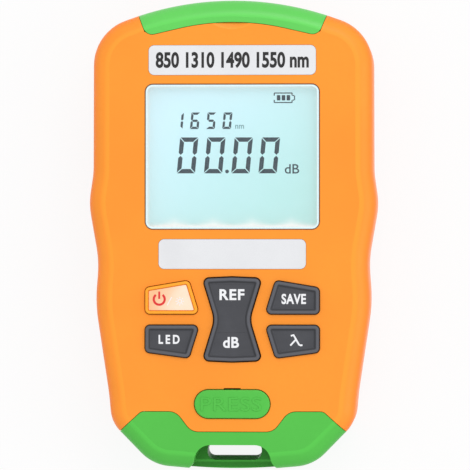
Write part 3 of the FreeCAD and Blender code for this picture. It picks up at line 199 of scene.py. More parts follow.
class Shader(Graph):
    """Node tree of a material, with the patterns that its finishes share."""

    def __init__(self, name: str) -> None:
        """Make an empty material.

        Args:
            name: Name of the material.
        """
        self.material = bpy.data.materials.new(name)
        self.material.use_nodes = True
        super().__init__(self.material.node_tree)
        self.place = self.node("ShaderNodeTexCoord").outputs["Object"]

    def axis(self, letter: str) -> Signal:
        """Millimetres along the model's X, Y or Z."""
        return self.signal("ShaderNodeSeparateXYZ", {0: self.place}, output=letter) * (1 / MM)

    def noise(self, grain: float, detail: float = 2.0, stretch: Triple = (1.0, 1.0, 1.0)) -> Signal:
        """Noise in the model's own space.

        Args:
            grain: Size of one patch.
            detail: Octaves of finer noise.
            stretch: Factors along X, Y and Z.

        Returns:
            Noise around one half.
        """
        mapped = self.node("ShaderNodeMapping", {"Vector": self.place, "Scale": Vector(stretch)})
        inputs = {"Vector": mapped, "Scale": 1 / (grain * MM), "Detail": detail, "Roughness": 0.55}
        return self.signal("ShaderNodeTexNoise", inputs)

    def cloud(self, grain: float, detail: float = 3.0, low: float = 0.3, high: float = 0.7) -> Signal:
        """Soft patches from 0 to 1: noise of one grain, stepped between two of its levels."""
        return self.noise(grain, detail).ramp(low, high)

    def cells(self, spacing: float, feature: str = "F1") -> Signal:
        """Distance to the nearest point of a loose grid or to a cell's edge, as a share of the spacing."""
        inputs = {"Vector": self.place, "Scale": 1 / (spacing * MM)}
        return self.signal("ShaderNodeTexVoronoi", inputs, {"feature": feature}, "Distance")

    def specks(self, spacing: float, size: float) -> Signal:
        """1 inside sparse round specks, whose size is a share of their spacing, and 0 outside."""
        return 1 - self.cells(spacing).ramp(size * 0.6, size)

    def mix(self, factor: Value, first: object, second: object) -> NodeSocket:
        """Blend of two colours or colour sockets: the first at factor 0 and the second at 1."""
        return self.node("ShaderNodeMix", {0: factor, 6: first, 7: second}, {"data_type": "RGBA"}).outputs[2]

    def bump(self, height: Signal, depth: float) -> Node:
        """Relief from a pattern from 0 to 1, with the depth of the whole."""
        return self.node("ShaderNodeBump", {"Height": height, "Distance": depth * MM, "Strength": 1.0})

    def finish(self, **sockets: object) -> Material:
        """Close the tree with a Principled shader.

        Args:
            sockets: Values by the shader's input names, with underscores for spaces.

        Returns:
            The finished material.
        """
        inputs = {name.replace("_", " "): value for name, value in sockets.items()}
        surface = self.node("ShaderNodeBsdfPrincipled", inputs)
        self.node("ShaderNodeOutputMaterial", {"Surface": surface})
        return self.material


# ---- finishes
class Weave(Enum):
    """Factors along X, Y and Z that draw a metal's tool lines out in one direction."""

    ALONG_X = (0.04, 1.0, 1.0)
    TURNED = (1.0, 0.5, 1.0)


@dataclass(frozen=True)
class Finish:
    """What every finish has: the name of its material and a main colour."""

    name: str
    colour: Colour

    def tint(self, factor: float) -> Colour:
        """The main colour made darker or lighter by a factor."""
        return shaded(self.colour, factor)


@dataclass(frozen=True)
class MouldedPlastic(Finish):
    """Satin injection-moulded plastic with a spark-eroded grain, with painted shade on its flanks and a painted
    highlight on the crease where they meet the face.
    """

    flank_shade: Colour
    roughness: float = 0.38
    grain: float = 0.22
    relief: float = 0.035
    drift: float = 0.05
    gloss: float = 0.25
    face_height: float = 30.0
    crease_highlight_gain: float = 1.10

    def tone(self, shader: Shader) -> NodeSocket:
        """Colour of the plastic, with its clouding, painted shade on its flanks and a painted highlight on the
        crease between them and the face.

        Args:
            shader: Material that the nodes are added to.

        Returns:
            Output that carries the colour.
        """
        broad = shader.mix(shader.cloud(32.0), self.tint(1 - self.drift), self.tint(1 + self.drift * 0.6))
        mottle = shader.cloud(1.3, 4.0, 0.35, 0.7)
        plain = shader.mix(mottle * 0.25, broad, self.tint(1 - 1.2 * self.drift))
        drop = self.face_height - shader.axis("Z")
        # Painted shade: below the face the colour turns towards the darker flank colour, as the flanks get less
        # light.
        flank_shaded = shader.mix(drop.ramp(0.5, 3.2) * 0.9, plain, self.flank_shade)
        # Painted highlight: a lighter band just below the face, where the rounded edge begins, stands in for
        # the light it catches.
        crease_highlight = drop.within((0.002, 0.02), (0.04, 0.35))
        return shader.mix(crease_highlight, flank_shaded, self.tint(self.crease_highlight_gain))

    def material(self) -> Material:
        """Build the material.

        Returns:
            The finished material.
        """
        shader = Shader(self.name)
        scuff = shader.noise(9.0, 5.0, (1.0, 0.12, 1.0)).ramp(0.62, 0.78)
        pits = shader.noise(self.grain)
        orange_peel = shader.noise(self.grain * 9, 1.0)
        rough = self.roughness + pits * 0.10 + scuff * 0.07 - 0.05
        normal = shader.bump(pits * 0.7 + orange_peel * 0.6, self.relief)
        return shader.finish(Base_Color=self.tone(shader), Roughness=rough, Normal=normal, IOR=1.47,
                             Specular_IOR_Level=self.gloss)


@dataclass(frozen=True)
class ScoopedPlastic(MouldedPlastic):
    """Moulded plastic of the end cap, with painted shade inside its lanyard scoop and a painted highlight along
    the edge of its bar.
    """

    scoop_half: float = 11.9
    scoop_top: float = -55.5
    scoop_foot: float = -63.2
    bar_edge: float = -61.55
    bar_rise: Point = (12.6, 12.9)
    bar_fall: Point = (13.2, 13.6)

    def tone(self, shader: Shader) -> NodeSocket:
        """Colour of the plastic with painted shade in the scoop and a painted highlight on the edge of its bar.

        Args:
            shader: Material that the nodes are added to.

        Returns:
            Output that carries the colour.
        """
        along = shader.axis("Y")
        drop = self.face_height - shader.axis("Z")
        inside = 1 - shader.axis("X").size().ramp(self.scoop_half - 0.1, self.scoop_half)
        between = along.within((self.scoop_foot - 0.2, self.scoop_foot), (self.scoop_top - 0.1, self.scoop_top))
        # Painted shade: darker with depth inside the scoop, where less light reaches.
        shade = inside * between * drop.ramp(1.5, 12.0) ** 0.7
        # Painted highlight: a light line along the edge of the bar below the slot.
        bar_highlight = (1 - (along - self.bar_edge).size().ramp(0.1, 0.5)) * drop.within(self.bar_rise, self.bar_fall)
        dark = shader.mix(shade * 0.75, super().tone(shader), shaded(self.flank_shade, 0.40))
        return shader.mix(bar_highlight * inside * 0.7, dark, self.colour)


@dataclass(frozen=True)
class Silicone(Finish):
    """Matt key rubber with a fine blasted surface, a painted highlight on its rim and painted shade on the
    slope down to its dish; the rim is also a little smoother.
    """

    roughness: float = 0.56
    rim_height: float = 30.9
    floor_height: float = 30.35
    rim_highlight_gain: float = 1.55
    slope_shade_gain: float = 0.62
    dust_gain: float = 2.6

    def material(self) -> Material:
        """Build the material.

        Returns:
            The finished material.
        """
        shader = Shader(self.name)
        height = shader.axis("Z")
        rim = height.ramp(self.rim_height - 0.20, self.rim_height - 0.02)
        slope = height.ramp(self.floor_height + 0.09, self.floor_height + 0.18) * (1 - rim)
        body = shader.mix(shader.cloud(4.0, 4.0, 0.35, 0.75), self.tint(0.94), self.tint(1.06))
        # Painted light: the rim is painted lighter and the slope darker, as the light falls on them.
        tone = shader.mix(rim, shader.mix(slope, body, self.tint(self.slope_shade_gain)), self.tint(self.rim_highlight_gain))
        dust = shader.specks(1.1, 0.10) * shader.noise(6.0).ramp(0.5, 0.7)
        grit = shader.noise(0.16)
        rough = self.roughness + grit * 0.12 - rim * 0.10
        dusty = shader.mix(dust * 0.35, tone, self.tint(self.dust_gain))
        return shader.finish(Base_Color=dusty, Roughness=rough, Normal=shader.bump(grit, 0.010), IOR=1.42,
                             Specular_IOR_Level=0.35)


@dataclass(frozen=True)
class LitSilicone(Finish):
    """Translucent key rubber, paler towards the lamp below one end, across a line that leans with the panel."""

    lit: Colour
    start: float
    end: float
    lean: float = -0.5

    def material(self) -> Material:
        """Build the material.

        Returns:
            The finished material.
        """
        shader = Shader(self.name)
        reach = (shader.axis("X") + shader.axis("Y") * self.lean).ramp(self.start, self.end)
        share = (reach + shader.cloud(2.6) * 0.16 - 0.08).smaller(1.0).larger(0.0)
        grit = shader.noise(0.16)
        return shader.finish(Base_Color=shader.mix(share, self.colour, self.lit), Roughness=0.42 + grit * 0.1,
                             Normal=shader.bump(grit, 0.008), IOR=1.42, Specular_IOR_Level=0.35)


@dataclass(frozen=True)
class PrintedPlate(Finish):
    """Silver-white lacquered foil plate with a pearl fleck."""

    def material(self) -> Material:
        """Build the material.

        Returns:
            The finished material.
        """
        shader = Shader(self.name)
        fleck = shader.cloud(0.35, 3.0, 0.4, 0.75)
        base = shader.mix(shader.cloud(14.0), self.tint(0.97), self.tint(1.02))
        return shader.finish(Base_Color=shader.mix(fleck * 0.22, base, self.tint(0.88)), Metallic=0.12,
                             Roughness=0.40 + fleck * 0.12, Normal=shader.bump(fleck, 0.004))


@dataclass(frozen=True)
class FlatInk(Finish):
    """Flat ink with a slightly broken film, for print and for the painted shadow and painted glow rings round
    the display window.
    """

    roughness: float = 0.5
    glow: float = 0.0

    def material(self) -> Material:
        """Build the material.

        Returns:
            The finished material.
        """
        shader = Shader(self.name)
        film = shader.cloud(0.30, 3.0, 0.35, 0.75)
        tone = shader.mix(film, self.tint(0.90), self.colour)
        return shader.finish(Base_Color=tone, Roughness=self.roughness + film * 0.1, Emission_Color=tone,
                             Emission_Strength=self.glow, Normal=shader.bump(film, 0.003))


@dataclass(frozen=True)
class BacklitPanel(Finish):
    """Pale lit display: cyan at the upper left, greener at the lower right, with lamp glow along its foot."""

    green: Colour
    glow: Colour
    centre: Vector
    half: Point
    lamp_pitch: float
    lamps: int = 4
    rim: float = 0.9

    def material(self) -> Material:
        """Build the material.

        Returns:
            The finished material.
        """
        shader = Shader(self.name)
        across, along = (shader.axis(letter) - middle for letter, middle in zip("XY", self.centre))
        wide, high = self.half
        slope = (across / (2 * wide) - along / (2 * high)) * 0.5 + 0.5
        tint = shader.mix(slope.ramp(0.05, 0.95), self.colour, self.green)
        edge = across.size().ramp(wide - self.rim, wide).larger(along.size().ramp(high - self.rim, high))
        rise = along + high
        spots: Value = 0.0
        for number in range(self.lamps):
            middle = (number - (self.lamps - 1) / 2) * self.lamp_pitch
            reach = (across - middle).size() * 0.42 + rise
            spots = (1 - reach.ramp(0.2, 4.4)) ** 1.6 + spots
        glow = (edge * 0.55 + (1 - rise.ramp(0.0, 1.7)) * 0.6 + spots * 0.9).smaller(1.0)
        misty = shader.mix(shader.cloud(7.0) * 0.08, tint, self.tint(0.93))
        tone = shader.mix(glow, misty, self.glow)
        film = shader.noise(0.12)
        return shader.finish(Base_Color=shader.mix(0.55, tone, (0.0, 0.0, 0.0)), Roughness=0.35 + film * 0.1,
                             Emission_Color=tone, Emission_Strength=0.60, Normal=shader.bump(film, 0.002))


@dataclass(frozen=True)
class ClearPane(Finish):
    """Hard-coated clear acrylic, seen mostly by its reflections."""

    def material(self) -> Material:
        """Build the material.

        Returns:
            The finished material.
        """
        shader = Shader(self.name)
        facing = shader.signal("ShaderNodeFresnel", {"IOR": 1.49})
        smear = shader.noise(11.0, 4.0, (1.0, 0.4, 1.0)).ramp(0.5, 0.8)
        hair = shader.noise(0.9, 5.0, (1.0, 0.05, 1.0)).ramp(0.72, 0.8)
        return shader.finish(Base_Color=shader.mix(smear, self.colour, self.tint(0.96)),
                             Roughness=0.05 + smear * 0.05, Alpha=0.012 + facing * 0.5 + hair * 0.01,
                             Normal=shader.bump(smear, 0.004))


@dataclass(frozen=True)
class Metal(Finish):
    """Plated or brushed metal with fine tool lines."""

    roughness: float = 0.28
    lines: Weave = Weave.TURNED
    stain: float = 0.12

    def material(self) -> Material:
        """Build the material.

        Returns:
            The finished material.
        """
        shader = Shader(self.name)
        brush = shader.noise(0.09, 3.0, self.lines.value)
        tarnish = shader.cloud(2.4, 4.0, 0.45, 0.75)
        rough = self.roughness + brush * 0.14 + tarnish * 0.10 - 0.07
        return shader.finish(Base_Color=shader.mix(tarnish * self.stain, self.colour, self.tint(0.55)),
                             Metallic=1.0, Roughness=rough, Normal=shader.bump(brush, 0.004))


@dataclass(frozen=True)
class Laminate(Finish):
    """Circuit board: solder mask over tracks, with pale pads."""

    track: Colour
    pad: Colour

    def material(self) -> Material:
        """Build the material.

        Returns:
            The finished material.
        """
        shader = Shader(self.name)
        route = 1 - shader.cells(3.2, "DISTANCE_TO_EDGE").ramp(0.04, 0.07)
        pads = shader.specks(2.6, 0.16)
        weave = shader.noise(0.25)
        tone = shader.mix(pads, shader.mix(route, self.colour, self.track), self.pad)
        normal = shader.bump(route * 0.6 + pads * 0.5 + weave * 0.1, 0.03)
        return shader.finish(Base_Color=tone, Roughness=0.34 + weave * 0.12 + pads * 0.1, Normal=normal)


@dataclass(frozen=True)
class Glaze(Finish):
    """Polished zirconia or lamp body: a faint cloud under a gloss coat, with a glow if it is lit."""

    shade: float = 0.92
    rough: Point = (0.10, 0.06)
    coat: Point = (0.6, 0.1)
    grain: float = 0.7
    glow: float = 0.0

    def material(self) -> Material:
        """Build the material.

        Returns:
            The finished material.
        """
        shader = Shader(self.name)
        swirl = shader.cloud(self.grain)
        tone = shader.mix(swirl, self.tint(self.shade), self.colour)
        rough, coat = (base + swirl * gain for base, gain in (self.rough, self.coat))
        return shader.finish(Base_Color=tone, Roughness=rough, Coat_Weight=coat, Emission_Color=tone,
                             Emission_Strength=self.glow)


@dataclass(frozen=True)
class CellJacket(Finish):
    """Plain shrink jacket of a dry cell: dark body with a lighter band at its upper end and a bare cap."""

    band: Colour
    bare: Colour
    band_from: float
    cap_from: float

    def material(self) -> Material:
        """Build the material.

        Returns:
            The finished material.
        """
        shader = Shader(self.name)
        along = shader.axis("Y")
        ring = along.ramp(self.band_from, self.band_from + 0.2)
        cap = along.ramp(self.cap_from, self.cap_from + 0.1)
        wrinkle = shader.noise(1.6, 3.0, (1.0, 0.2, 1.0))
        tone = shader.mix(cap, shader.mix(ring, self.colour, self.band), self.bare)
        return shader.finish(Base_Color=tone, Metallic=ring * 0.5 + cap * 0.5, Roughness=0.30 + wrinkle * 0.12,
                             Normal=shader.bump(wrinkle, 0.02))


class Palette:
    """Every finish of the meter, each made once and shared."""

    PANEL_INSET: ClassVar[float] = 0.45
    LAMP_WIDTH: ClassVar[float] = 2.8
    LIGHT_START: ClassVar[float] = 8.2
    LIGHT_END: ClassVar[float] = 6.5
    CELL_BAND: ClassVar[float] = 13
    CELL_CAP: ClassVar[float] = 0.9

    def __init__(self) -> None:
        """Make the materials."""
        # The second colour of each moulded finish is painted shade for its flanks, not a second plastic.
        green, flank_shade_green = srgb(84, 191, 74), srgb(70, 184, 60)
        self.case = MouldedPlastic("case_orange", srgb(255, 152, 48), srgb(255, 131, 20)).material()
        self.trim = MouldedPlastic("trim_green", green, flank_shade_green).material()
        self.cap = ScoopedPlastic("cap_green", green, flank_shade_green).material()
        # Painted light: the port cover is the trim's green plastic painted lighter all over for the key light
        # on its sloping top, with less painted shade on its flanks.
        self.cover = MouldedPlastic("cover_green", srgb(93, 205, 85), srgb(86, 200, 78), roughness=0.32,
                                    gloss=0.5).material()
        self.black = MouldedPlastic("inner_black", srgb(38, 38, 41), srgb(36, 36, 39), roughness=0.5).material()
        self.key = Silicone("key_grey", srgb(73, 74, 79)).material()
        self.power = Silicone("key_amber", srgb(255, 168, 44), roughness=0.44, rim_highlight_gain=1.0,
                              slope_shade_gain=0.9).material()
        panel = Solid("power_key_panel")
        start, end = panel.low.x + self.LIGHT_START, panel.high.x + self.LIGHT_END
        self.panel = LitSilicone("key_pale", srgb(252, 192, 144), srgb(255, 229, 204), start, end).material()
        self.plate = PrintedPlate("plate_silver", srgb(226, 227, 230)).material()
        self.ink_black = FlatInk("ink_black", srgb(16, 15, 17)).material()
        self.ink_white = FlatInk("ink_white", srgb(246, 247, 250)).material()
        self.ink_red = FlatInk("ink_red", srgb(228, 42, 40)).material()
        self.segment = FlatInk("segment_slate", srgb(22, 48, 62), roughness=0.4).material()
        self.faint = FlatInk("segment_faint", srgb(104, 146, 152), roughness=0.4, glow=0.15).material()
        # Painted glow: the pale, faintly glowing ring stands in for the bright lit edge of the display and
        # covers the pane's seat.
        self.border = FlatInk("border_pale", srgb(214, 238, 243), roughness=0.35, glow=0.15).material()
        # Painted shadow: a dark ring stands in for the shade in the gap round the display window.
        self.seam = FlatInk("seam_brown", srgb(112, 84, 66), roughness=0.6).material()
        window = Solid("display_window")
        lit_half = (window.half.x - self.PANEL_INSET, window.half.y - self.PANEL_INSET)
        lamp_pitch = (2 * Solid("backlight_lamps").half.x - self.LAMP_WIDTH) / 3
        self.lcd = BacklitPanel("lcd_glass", srgb(210, 245, 254), srgb(186, 233, 230), srgb(244, 255, 255),
                                window.centre, lit_half, lamp_pitch).material()
        self.pane = ClearPane("window_clear", (0.93, 0.98, 1.0)).material()
        self.guide = Glaze("guide_milky", (0.90, 0.93, 0.94), glow=0.3).material()
        self.lamp = Glaze("lamp_white", (0.93, 0.93, 0.88)).material()
        self.sleeve = Glaze("sleeve_white", (0.86, 0.85, 0.82), 0.95, (0.12, 0.08), (0.4, 0.1), 0.8).material()
        self.steel = Metal("steel", (0.60, 0.60, 0.62), lines=Weave.ALONG_X).material()
        self.nickel = Metal("nickel", (0.74, 0.72, 0.68), roughness=0.20).material()
        self.board = Laminate("board_green", (0.01, 0.10, 0.035), (0.02, 0.19, 0.06),
                              (0.62, 0.50, 0.24)).material()
        cell_end = Solid("battery_cell_middle").high.y
        self.cell = CellJacket("cell_jacket", (0.03, 0.035, 0.05), (0.62, 0.45, 0.14), (0.55, 0.55, 0.56),
                               cell_end - self.CELL_BAND, cell_end - self.CELL_CAP).material()


# ---- solids and meshes
class Solid:
    """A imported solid's mesh and its box, in millimetres."""

    def __init__(self, node: str) -> None:
        """Look the solid up.

        Args:
            node: Name of the solid.
        """
        low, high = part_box(node)
        self.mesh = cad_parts[node].data
        self.low = low / MM
        self.high = high / MM
        self.centre = (self.low + self.high) / 2
        self.half = (self.high - self.low) / 2

    def quadrants(self) -> list[Vector]:
        """Middle and foot of what the solid has in each quarter of the plan.

        Returns:
            One point for each quarter, in millimetres.
        """
        points = [vertex.co / MM for vertex in self.mesh.vertices]
        found = []
        for side, end in ((-1, -1), (-1, 1), (1, -1), (1, 1)):
            mine = [p for p in points if p.x * side > 0 and p.y * end > 0]
            lows, highs = ([pick(p[axis] for p in mine) for axis in range(3)] for pick in (min, max))
            found.append(Vector(((lows[0] + highs[0]) / 2, (lows[1] + highs[1]) / 2, lows[2])))
        return found


def dress(material: Material, *nodes: str) -> None:
    """Give solids a finish.

    Args:
        material: Finish to put in every slot.
        nodes: Names of the solids.
    """
    for node in nodes:
        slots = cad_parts[node].data.materials
        if not slots:
            slots.append(material)
        for index in range(len(slots)):
            slots[index] = material


def placed(name: str, data: ID) -> Object:
    """New object in the scene.

    Args:
        name: Name of the object.
        data: Its mesh, text, lamp or camera.

    Returns:
        The object, at the origin.
    """
    made = bpy.data.objects.new(name, data)
    bpy.context.scene.collection.objects.link(made)
    return made


def piece(name: str, mesh: Mesh, body: str, material: Material) -> Object:
    """Put a mesh in the scene as a piece of a body.

    Args:
        name: Name of the piece.
        mesh: Mesh in metres, in place.
        body: Body that the piece moves with.
        material: Finish.

    Returns:
        The new object.
    """
    mesh.name = name
    made = placed(name, mesh)
    mesh.materials.clear()
    mesh.materials.append(material)
    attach(made, body)
    LOG.info("%s: %d faces on %s", name, len(mesh.polygons), body)
    return made


def settled(form: bmesh.types.BMesh) -> Mesh:
    """Plain mesh of an edit mesh, which is freed.

    Args:
        form: Edit mesh in metres.

    Returns:
        The same shape as a mesh.
    """
    mesh = bpy.data.meshes.new("settled")
    form.to_mesh(mesh)
    form.free()
    return mesh


def prisms(pairs: Iterable[tuple[Outline, Outline]], low: float, high: float) -> Mesh:
    """Closed solids, each between two outlines of equal length at two heights.

    Args:
        pairs: Lower and upper outline of each solid, counter-clockwise.
        low: Height of the undersides.
        high: Height of the tops.

    Returns:
        Mesh in metres.
    """
    form = bmesh.new()
    for pair in pairs:
        foot, top = ([form.verts.new((x * MM, y * MM, z * MM)) for x, y in outline]
                     for outline, z in zip(pair, (low, high)))
        form.faces.new(foot[::-1])
        form.faces.new(top)
        for i in range(len(foot)):
            j = (i + 1) % len(foot)
            form.faces.new((foot[i], foot[j], top[j], top[i]))
    bmesh.ops.recalc_face_normals(form, faces=form.faces)
    return settled(form)


def slabs(outlines: Iterable[Outline], low: float, high: float) -> Mesh:
    """Flat solids with upright sides between two heights, as prisms() makes them."""
    return prisms([(outline, outline) for outline in outlines], low, high)


def cut(node: str, cutter: Mesh) -> Mesh:
    """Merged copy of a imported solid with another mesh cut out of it.

    Args:
        node: Name of the solid.
        cutter: Closed mesh in metres.

    Returns:
        The mesh that is left, in metres.
    """
    form = bmesh.new()
    form.from_mesh(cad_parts[node].data)
    bmesh.ops.remove_doubles(form, verts=form.verts, dist=1e-7)
    blank = placed("blank", settled(form))
    tool = placed("tool", cutter)
    trim = blank.modifiers.new("cut", "BOOLEAN")
    trim.operation, trim.solver, trim.object = "DIFFERENCE", "EXACT", tool
    result = evaluated(blank)
    bpy.data.objects.remove(tool)
    return result


def joined(meshes: Sequence[Mesh]) -> Mesh:
    """One mesh from several.

    Args:
        meshes: Meshes in metres, in place.

    Returns:
        The joined mesh.
    """
    form = bmesh.new()
    for mesh in meshes:
        form.from_mesh(mesh)
    return settled(form)


def evaluated(source: Object) -> Mesh:
    """Plain mesh of an object with its modifiers applied, after which the object is removed.

    Args:
        source: Object with modifiers, or a text.

    Returns:
        The resulting mesh.
    """
    graph = bpy.context.evaluated_depsgraph_get()
    mesh = bpy.data.meshes.new_from_object(source.evaluated_get(graph))
    bpy.data.objects.remove(source)
    return mesh


@dataclass(frozen=True)
class Legend:
    """A word set in the built-in face and fitted to a width and a cap height."""

    text: str
    centre: Point
    width: float
    height: float
    weight: float = 0.02
    spacing: float = 1.0

    def mesh(self, low: float, high: float, edge: float = 0.0) -> Mesh:
        """Build the word.

        Args:
            low: Height of its underside.
            high: Height of its top.
            edge: Width of a bevel round the letters.

        Returns:
            Mesh in metres.
        """
        curve = bpy.data.curves.new("word", "FONT")
        curve.body = self.text
        curve.offset = self.weight
        curve.space_character = self.spacing
        curve.extrude = 0.5
        curve.resolution_u = 6
        if edge:
            curve.bevel_depth = edge / self.height
            curve.bevel_resolution = 1
        mesh = evaluated(placed("word", curve))
        lows, highs = ([pick(v.co[axis] for v in mesh.vertices) for axis in range(3)] for pick in (min, max))
        wanted = (self.width, self.height, high - low)
        scale = [length / (top - foot) * MM for length, foot, top in zip(wanted, lows, highs)]
        middle = Vector(((lows[0] + highs[0]) / 2, (lows[1] + highs[1]) / 2, lows[2]))
        place = Matrix.Translation(Vector((*self.centre, low)) * MM)
        mesh.transform(place @ Matrix.Diagonal((*scale, 1.0)) @ Matrix.Translation(-middle))
        return mesh


# ---- outlines
def arc(centre: Point, radius: float, start: float, stop: float, steps: int) -> Outline:
    """Points along an arc in millimetres, from one angle in degrees to another."""
    angles = [math.radians(start + (stop - start) * i / steps) for i in range(steps + 1)]
    return [(centre[0] + radius * math.cos(a), centre[1] + radius * math.sin(a)) for a in angles]


def ribbon(outer: Outline, inner: Outline) -> list[Outline]:
    """Strip between two runs of as many points, as four-cornered outlines."""
    return [[inner[i], outer[i], outer[i + 1], inner[i + 1]] for i in range(len(outer) - 1)]


def band(centre: Point, radius: float, line: float, start: float = 0.0, stop: float = 360.0) -> list[Outline]:
    """Part of a ring from one angle in degrees to another, drawn with a line inside its radius, as a ribbon."""
    return ribbon(*(arc(centre, reach, start, stop, 28) for reach in (radius, radius - line)))


def stroke(points: Sequence[Point], width: float) -> Outline:
    """Straight or bent stroke with mitred corners.

    Args:
        points: Middle line, from one end to the other.
        width: Width of the stroke.

    Returns:
        Corners, counter-clockwise.
    """
    line = [Vector(point) for point in points]
    sides = [(stop - start).normalized() for start, stop in zip(line, line[1:])]
    normals = [Vector((-side.y, side.x)) for side in sides]
    shifts = [normals[0]]
    for before, after in zip(normals, normals[1:]):
        middle = (before + after).normalized()
        shifts.append(middle / max(middle.dot(before), 0.35))
    shifts.append(normals[-1])
    right = [point - shift * (width / 2) for point, shift in zip(line, shifts)]
    left = [point + shift * (width / 2) for point, shift in zip(line, shifts)]
    return [(corner.x, corner.y) for corner in right + left[::-1]]


def rounded(centre: Sequence[float], half: Point, radius: float, steps: int = 8) -> Outline:
    """Rectangle with round corners.

    Args:
        centre: Middle.
        half: Half width and half height.
        radius: Radius of the corners.
        steps: Number of pieces of each corner.

    Returns:
        Corners, counter-clockwise, from the right end of the upper right corner.
    """
    outline = []
    for quarter, (sx, sy) in enumerate(((1, 1), (-1, 1), (-1, -1), (1, -1))):
        hub = (centre[0] + sx * (half[0] - radius), centre[1] + sy * (half[1] - radius))
        outline += arc(hub, radius, 90 * quarter, 90 * (quarter + 1), steps)
    return outline


def drawn_in(corners: Sequence[Triple], inset: float, steps: int = 8) -> Outline:
    """Outline with round corners, drawn in by an even amount.

    Args:
        corners: Sharp corners with the radius of each, counter-clockwise.
        inset: Distance that every side moves inwards,.
        steps: Number of pieces of each round corner.

    Returns:
        Corners, counter-clockwise, as many at any inset.
    """
    points = [Vector((x, y)) for x, y, _ in corners]
    sides = [(after - point).normalized() for point, after in zip(points, points[1:] + points[:1])]
    normals = [Vector((-side.y, side.x)) for side in sides]
    outline = []
    for i, (_, _, radius) in enumerate(corners):
        before, after = normals[i - 1], normals[i]
        middle = (before + after).normalized()
        share = middle.dot(before)
        corner = points[i] + middle * (inset / share)
        if not radius:
            outline.append((corner.x, corner.y))
            continue
        towards = 1 if before.x * after.y > before.y * after.x else -1
        bend = max(radius - inset * towards, 0.1)
        hub = corner + middle * (towards * bend / share)
        start = math.degrees(math.atan2(-before.y * towards, -before.x * towards))
        outline += arc(hub, bend, start, start - math.degrees(before.angle_signed(after)), steps)
    return outline


def panel(left: float, low: float, right: float, high: float, corner: float = 0.0) -> Outline:
    """Rectangle, with its corners cut at 45 degrees if asked.

    Args:
        left: Left side.
        low: Lower side.
        right: Right side.
        high: Upper side.
        corner: Length of the cut.

    Returns:
        Corners, counter-clockwise.
    """
    if not corner:
        return [(left, low), (right, low), (right, high), (left, high)]
    return [(left + corner, low), (right - corner, low), (right, low + corner), (right, high - corner),
            (right - corner, high), (left + corner, high), (left, high - corner), (left, low + corner)]


# ---- sub-assemblies
@dataclass
class CaseShells:
    """The two orange half shells and the plates let into the face."""

    palette: Palette
    title_text: str = "850 1310 1490 1550 nm"
    title_width: float = 41.4
    title_height: float = 4.4
    title_weight: float = 0.034
    ink: float = 0.02

    def build(self) -> None:
        """Dress the shells and print the upper plate."""
        dress(self.palette.case, "front_shell", "rear_shell")
        dress(self.palette.plate, "title_plate", "blank_plate")
        plate = Solid("title_plate")
        title = Legend(self.title_text, plate.centre.xy, self.title_width, self.title_height, self.title_weight)
        mesh = title.mesh(plate.high.z, plate.high.z + self.ink)
        piece("title_numerals", mesh, "case", self.palette.ink_black)


@dataclass
class PowerMark:
    """Ring with a bar, a stroke and a small sun, printed on the power key's panel."""

    palette: Palette
    ring_centre: Point = (-19.7, -17.3)
    ring_radius: float = 1.78
    ring_line: float = 0.60
    ring_span: Point = (128, 412)
    stem_foot: float = 0.1
    stem_rise: float = 0.3
    stem_line: float = 0.51
    slash: Sequence[Point] = ((-17.55, -18.95), (-16.35, -16.75))
    slash_line: float = 0.24
    sun_centre: Point = (-14.15, -17.85)
    sun_radius: float = 0.62
    sun_line: float = 0.22
    rays: int = 8
    ray_span: Point = (0.14, 0.56)
    ray_line: float = 0.2
    ink: float = 0.03

    def build(self) -> None:
        """Print the marks on the panel."""
        x, y = self.ring_centre
        stem = stroke([(x, y + self.stem_foot), (x, y + self.ring_radius + self.stem_rise)], self.stem_line)
        red = [*band(self.ring_centre, self.ring_radius, self.ring_line, *self.ring_span), stem]
        starts, ends = (arc(self.sun_centre, self.sun_radius + reach, 0, 360, self.rays)[:-1]
                        for reach in self.ray_span)
        white = [stroke(self.slash, self.slash_line), *band(self.sun_centre, self.sun_radius, self.sun_line)]
        white += [stroke(ray, self.ray_line) for ray in zip(starts, ends)]
        top = Solid("power_key_panel").high.z
        for name, outlines, ink in (("power_mark", red, self.palette.ink_red),
                                    ("light_mark", white, self.palette.ink_white)):
            piece(name, slabs(outlines, top, top + self.ink), "power", ink)


@dataclass
class Rocker:
    """Two-way key: one rim runs round its whole waisted plan, with a shallow bridge between the two pads."""

    palette: Palette
    half: float = 7.95
    waist: float = 4.6
    top: float = -11.7
    foot: float = -33.8
    corner_round: float = 1.3
    waist_round: float = 7.0
    crown: float = 0.35
    rim: float = 0.75
    slope: float = 0.85 / 0.55
    bridge_depth: float = 0.47
    clear: float = 0.05

    def build(self) -> None:
        """Cut the bridge of the key down from its rim and dress it."""
        middle = (self.top + self.foot) / 2
        right = [(self.half, self.foot, self.corner_round), (self.waist, middle, self.waist_round),
                 (self.half, self.top, self.corner_round)]
        left = [(-x, y, bend) for x, y, bend in reversed(right)]
        corners = [*right, (0.0, self.top + self.crown, 0.0), *left, (0.0, self.foot - self.crown, 0.0)]
        insets = (self.rim + self.bridge_depth * self.slope, self.rim - self.clear * self.slope)
        high = Solid("ref_db_rocker").high.z
        pair = tuple(drawn_in(corners, inset) for inset in insets)
        cutter = prisms([pair], high - self.bridge_depth, high + self.clear)
        mesh = cut("ref_db_rocker", cutter)
        key = piece("rocker_cap", mesh, "rocker", self.palette.key)
        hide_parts("ref_db_rocker")


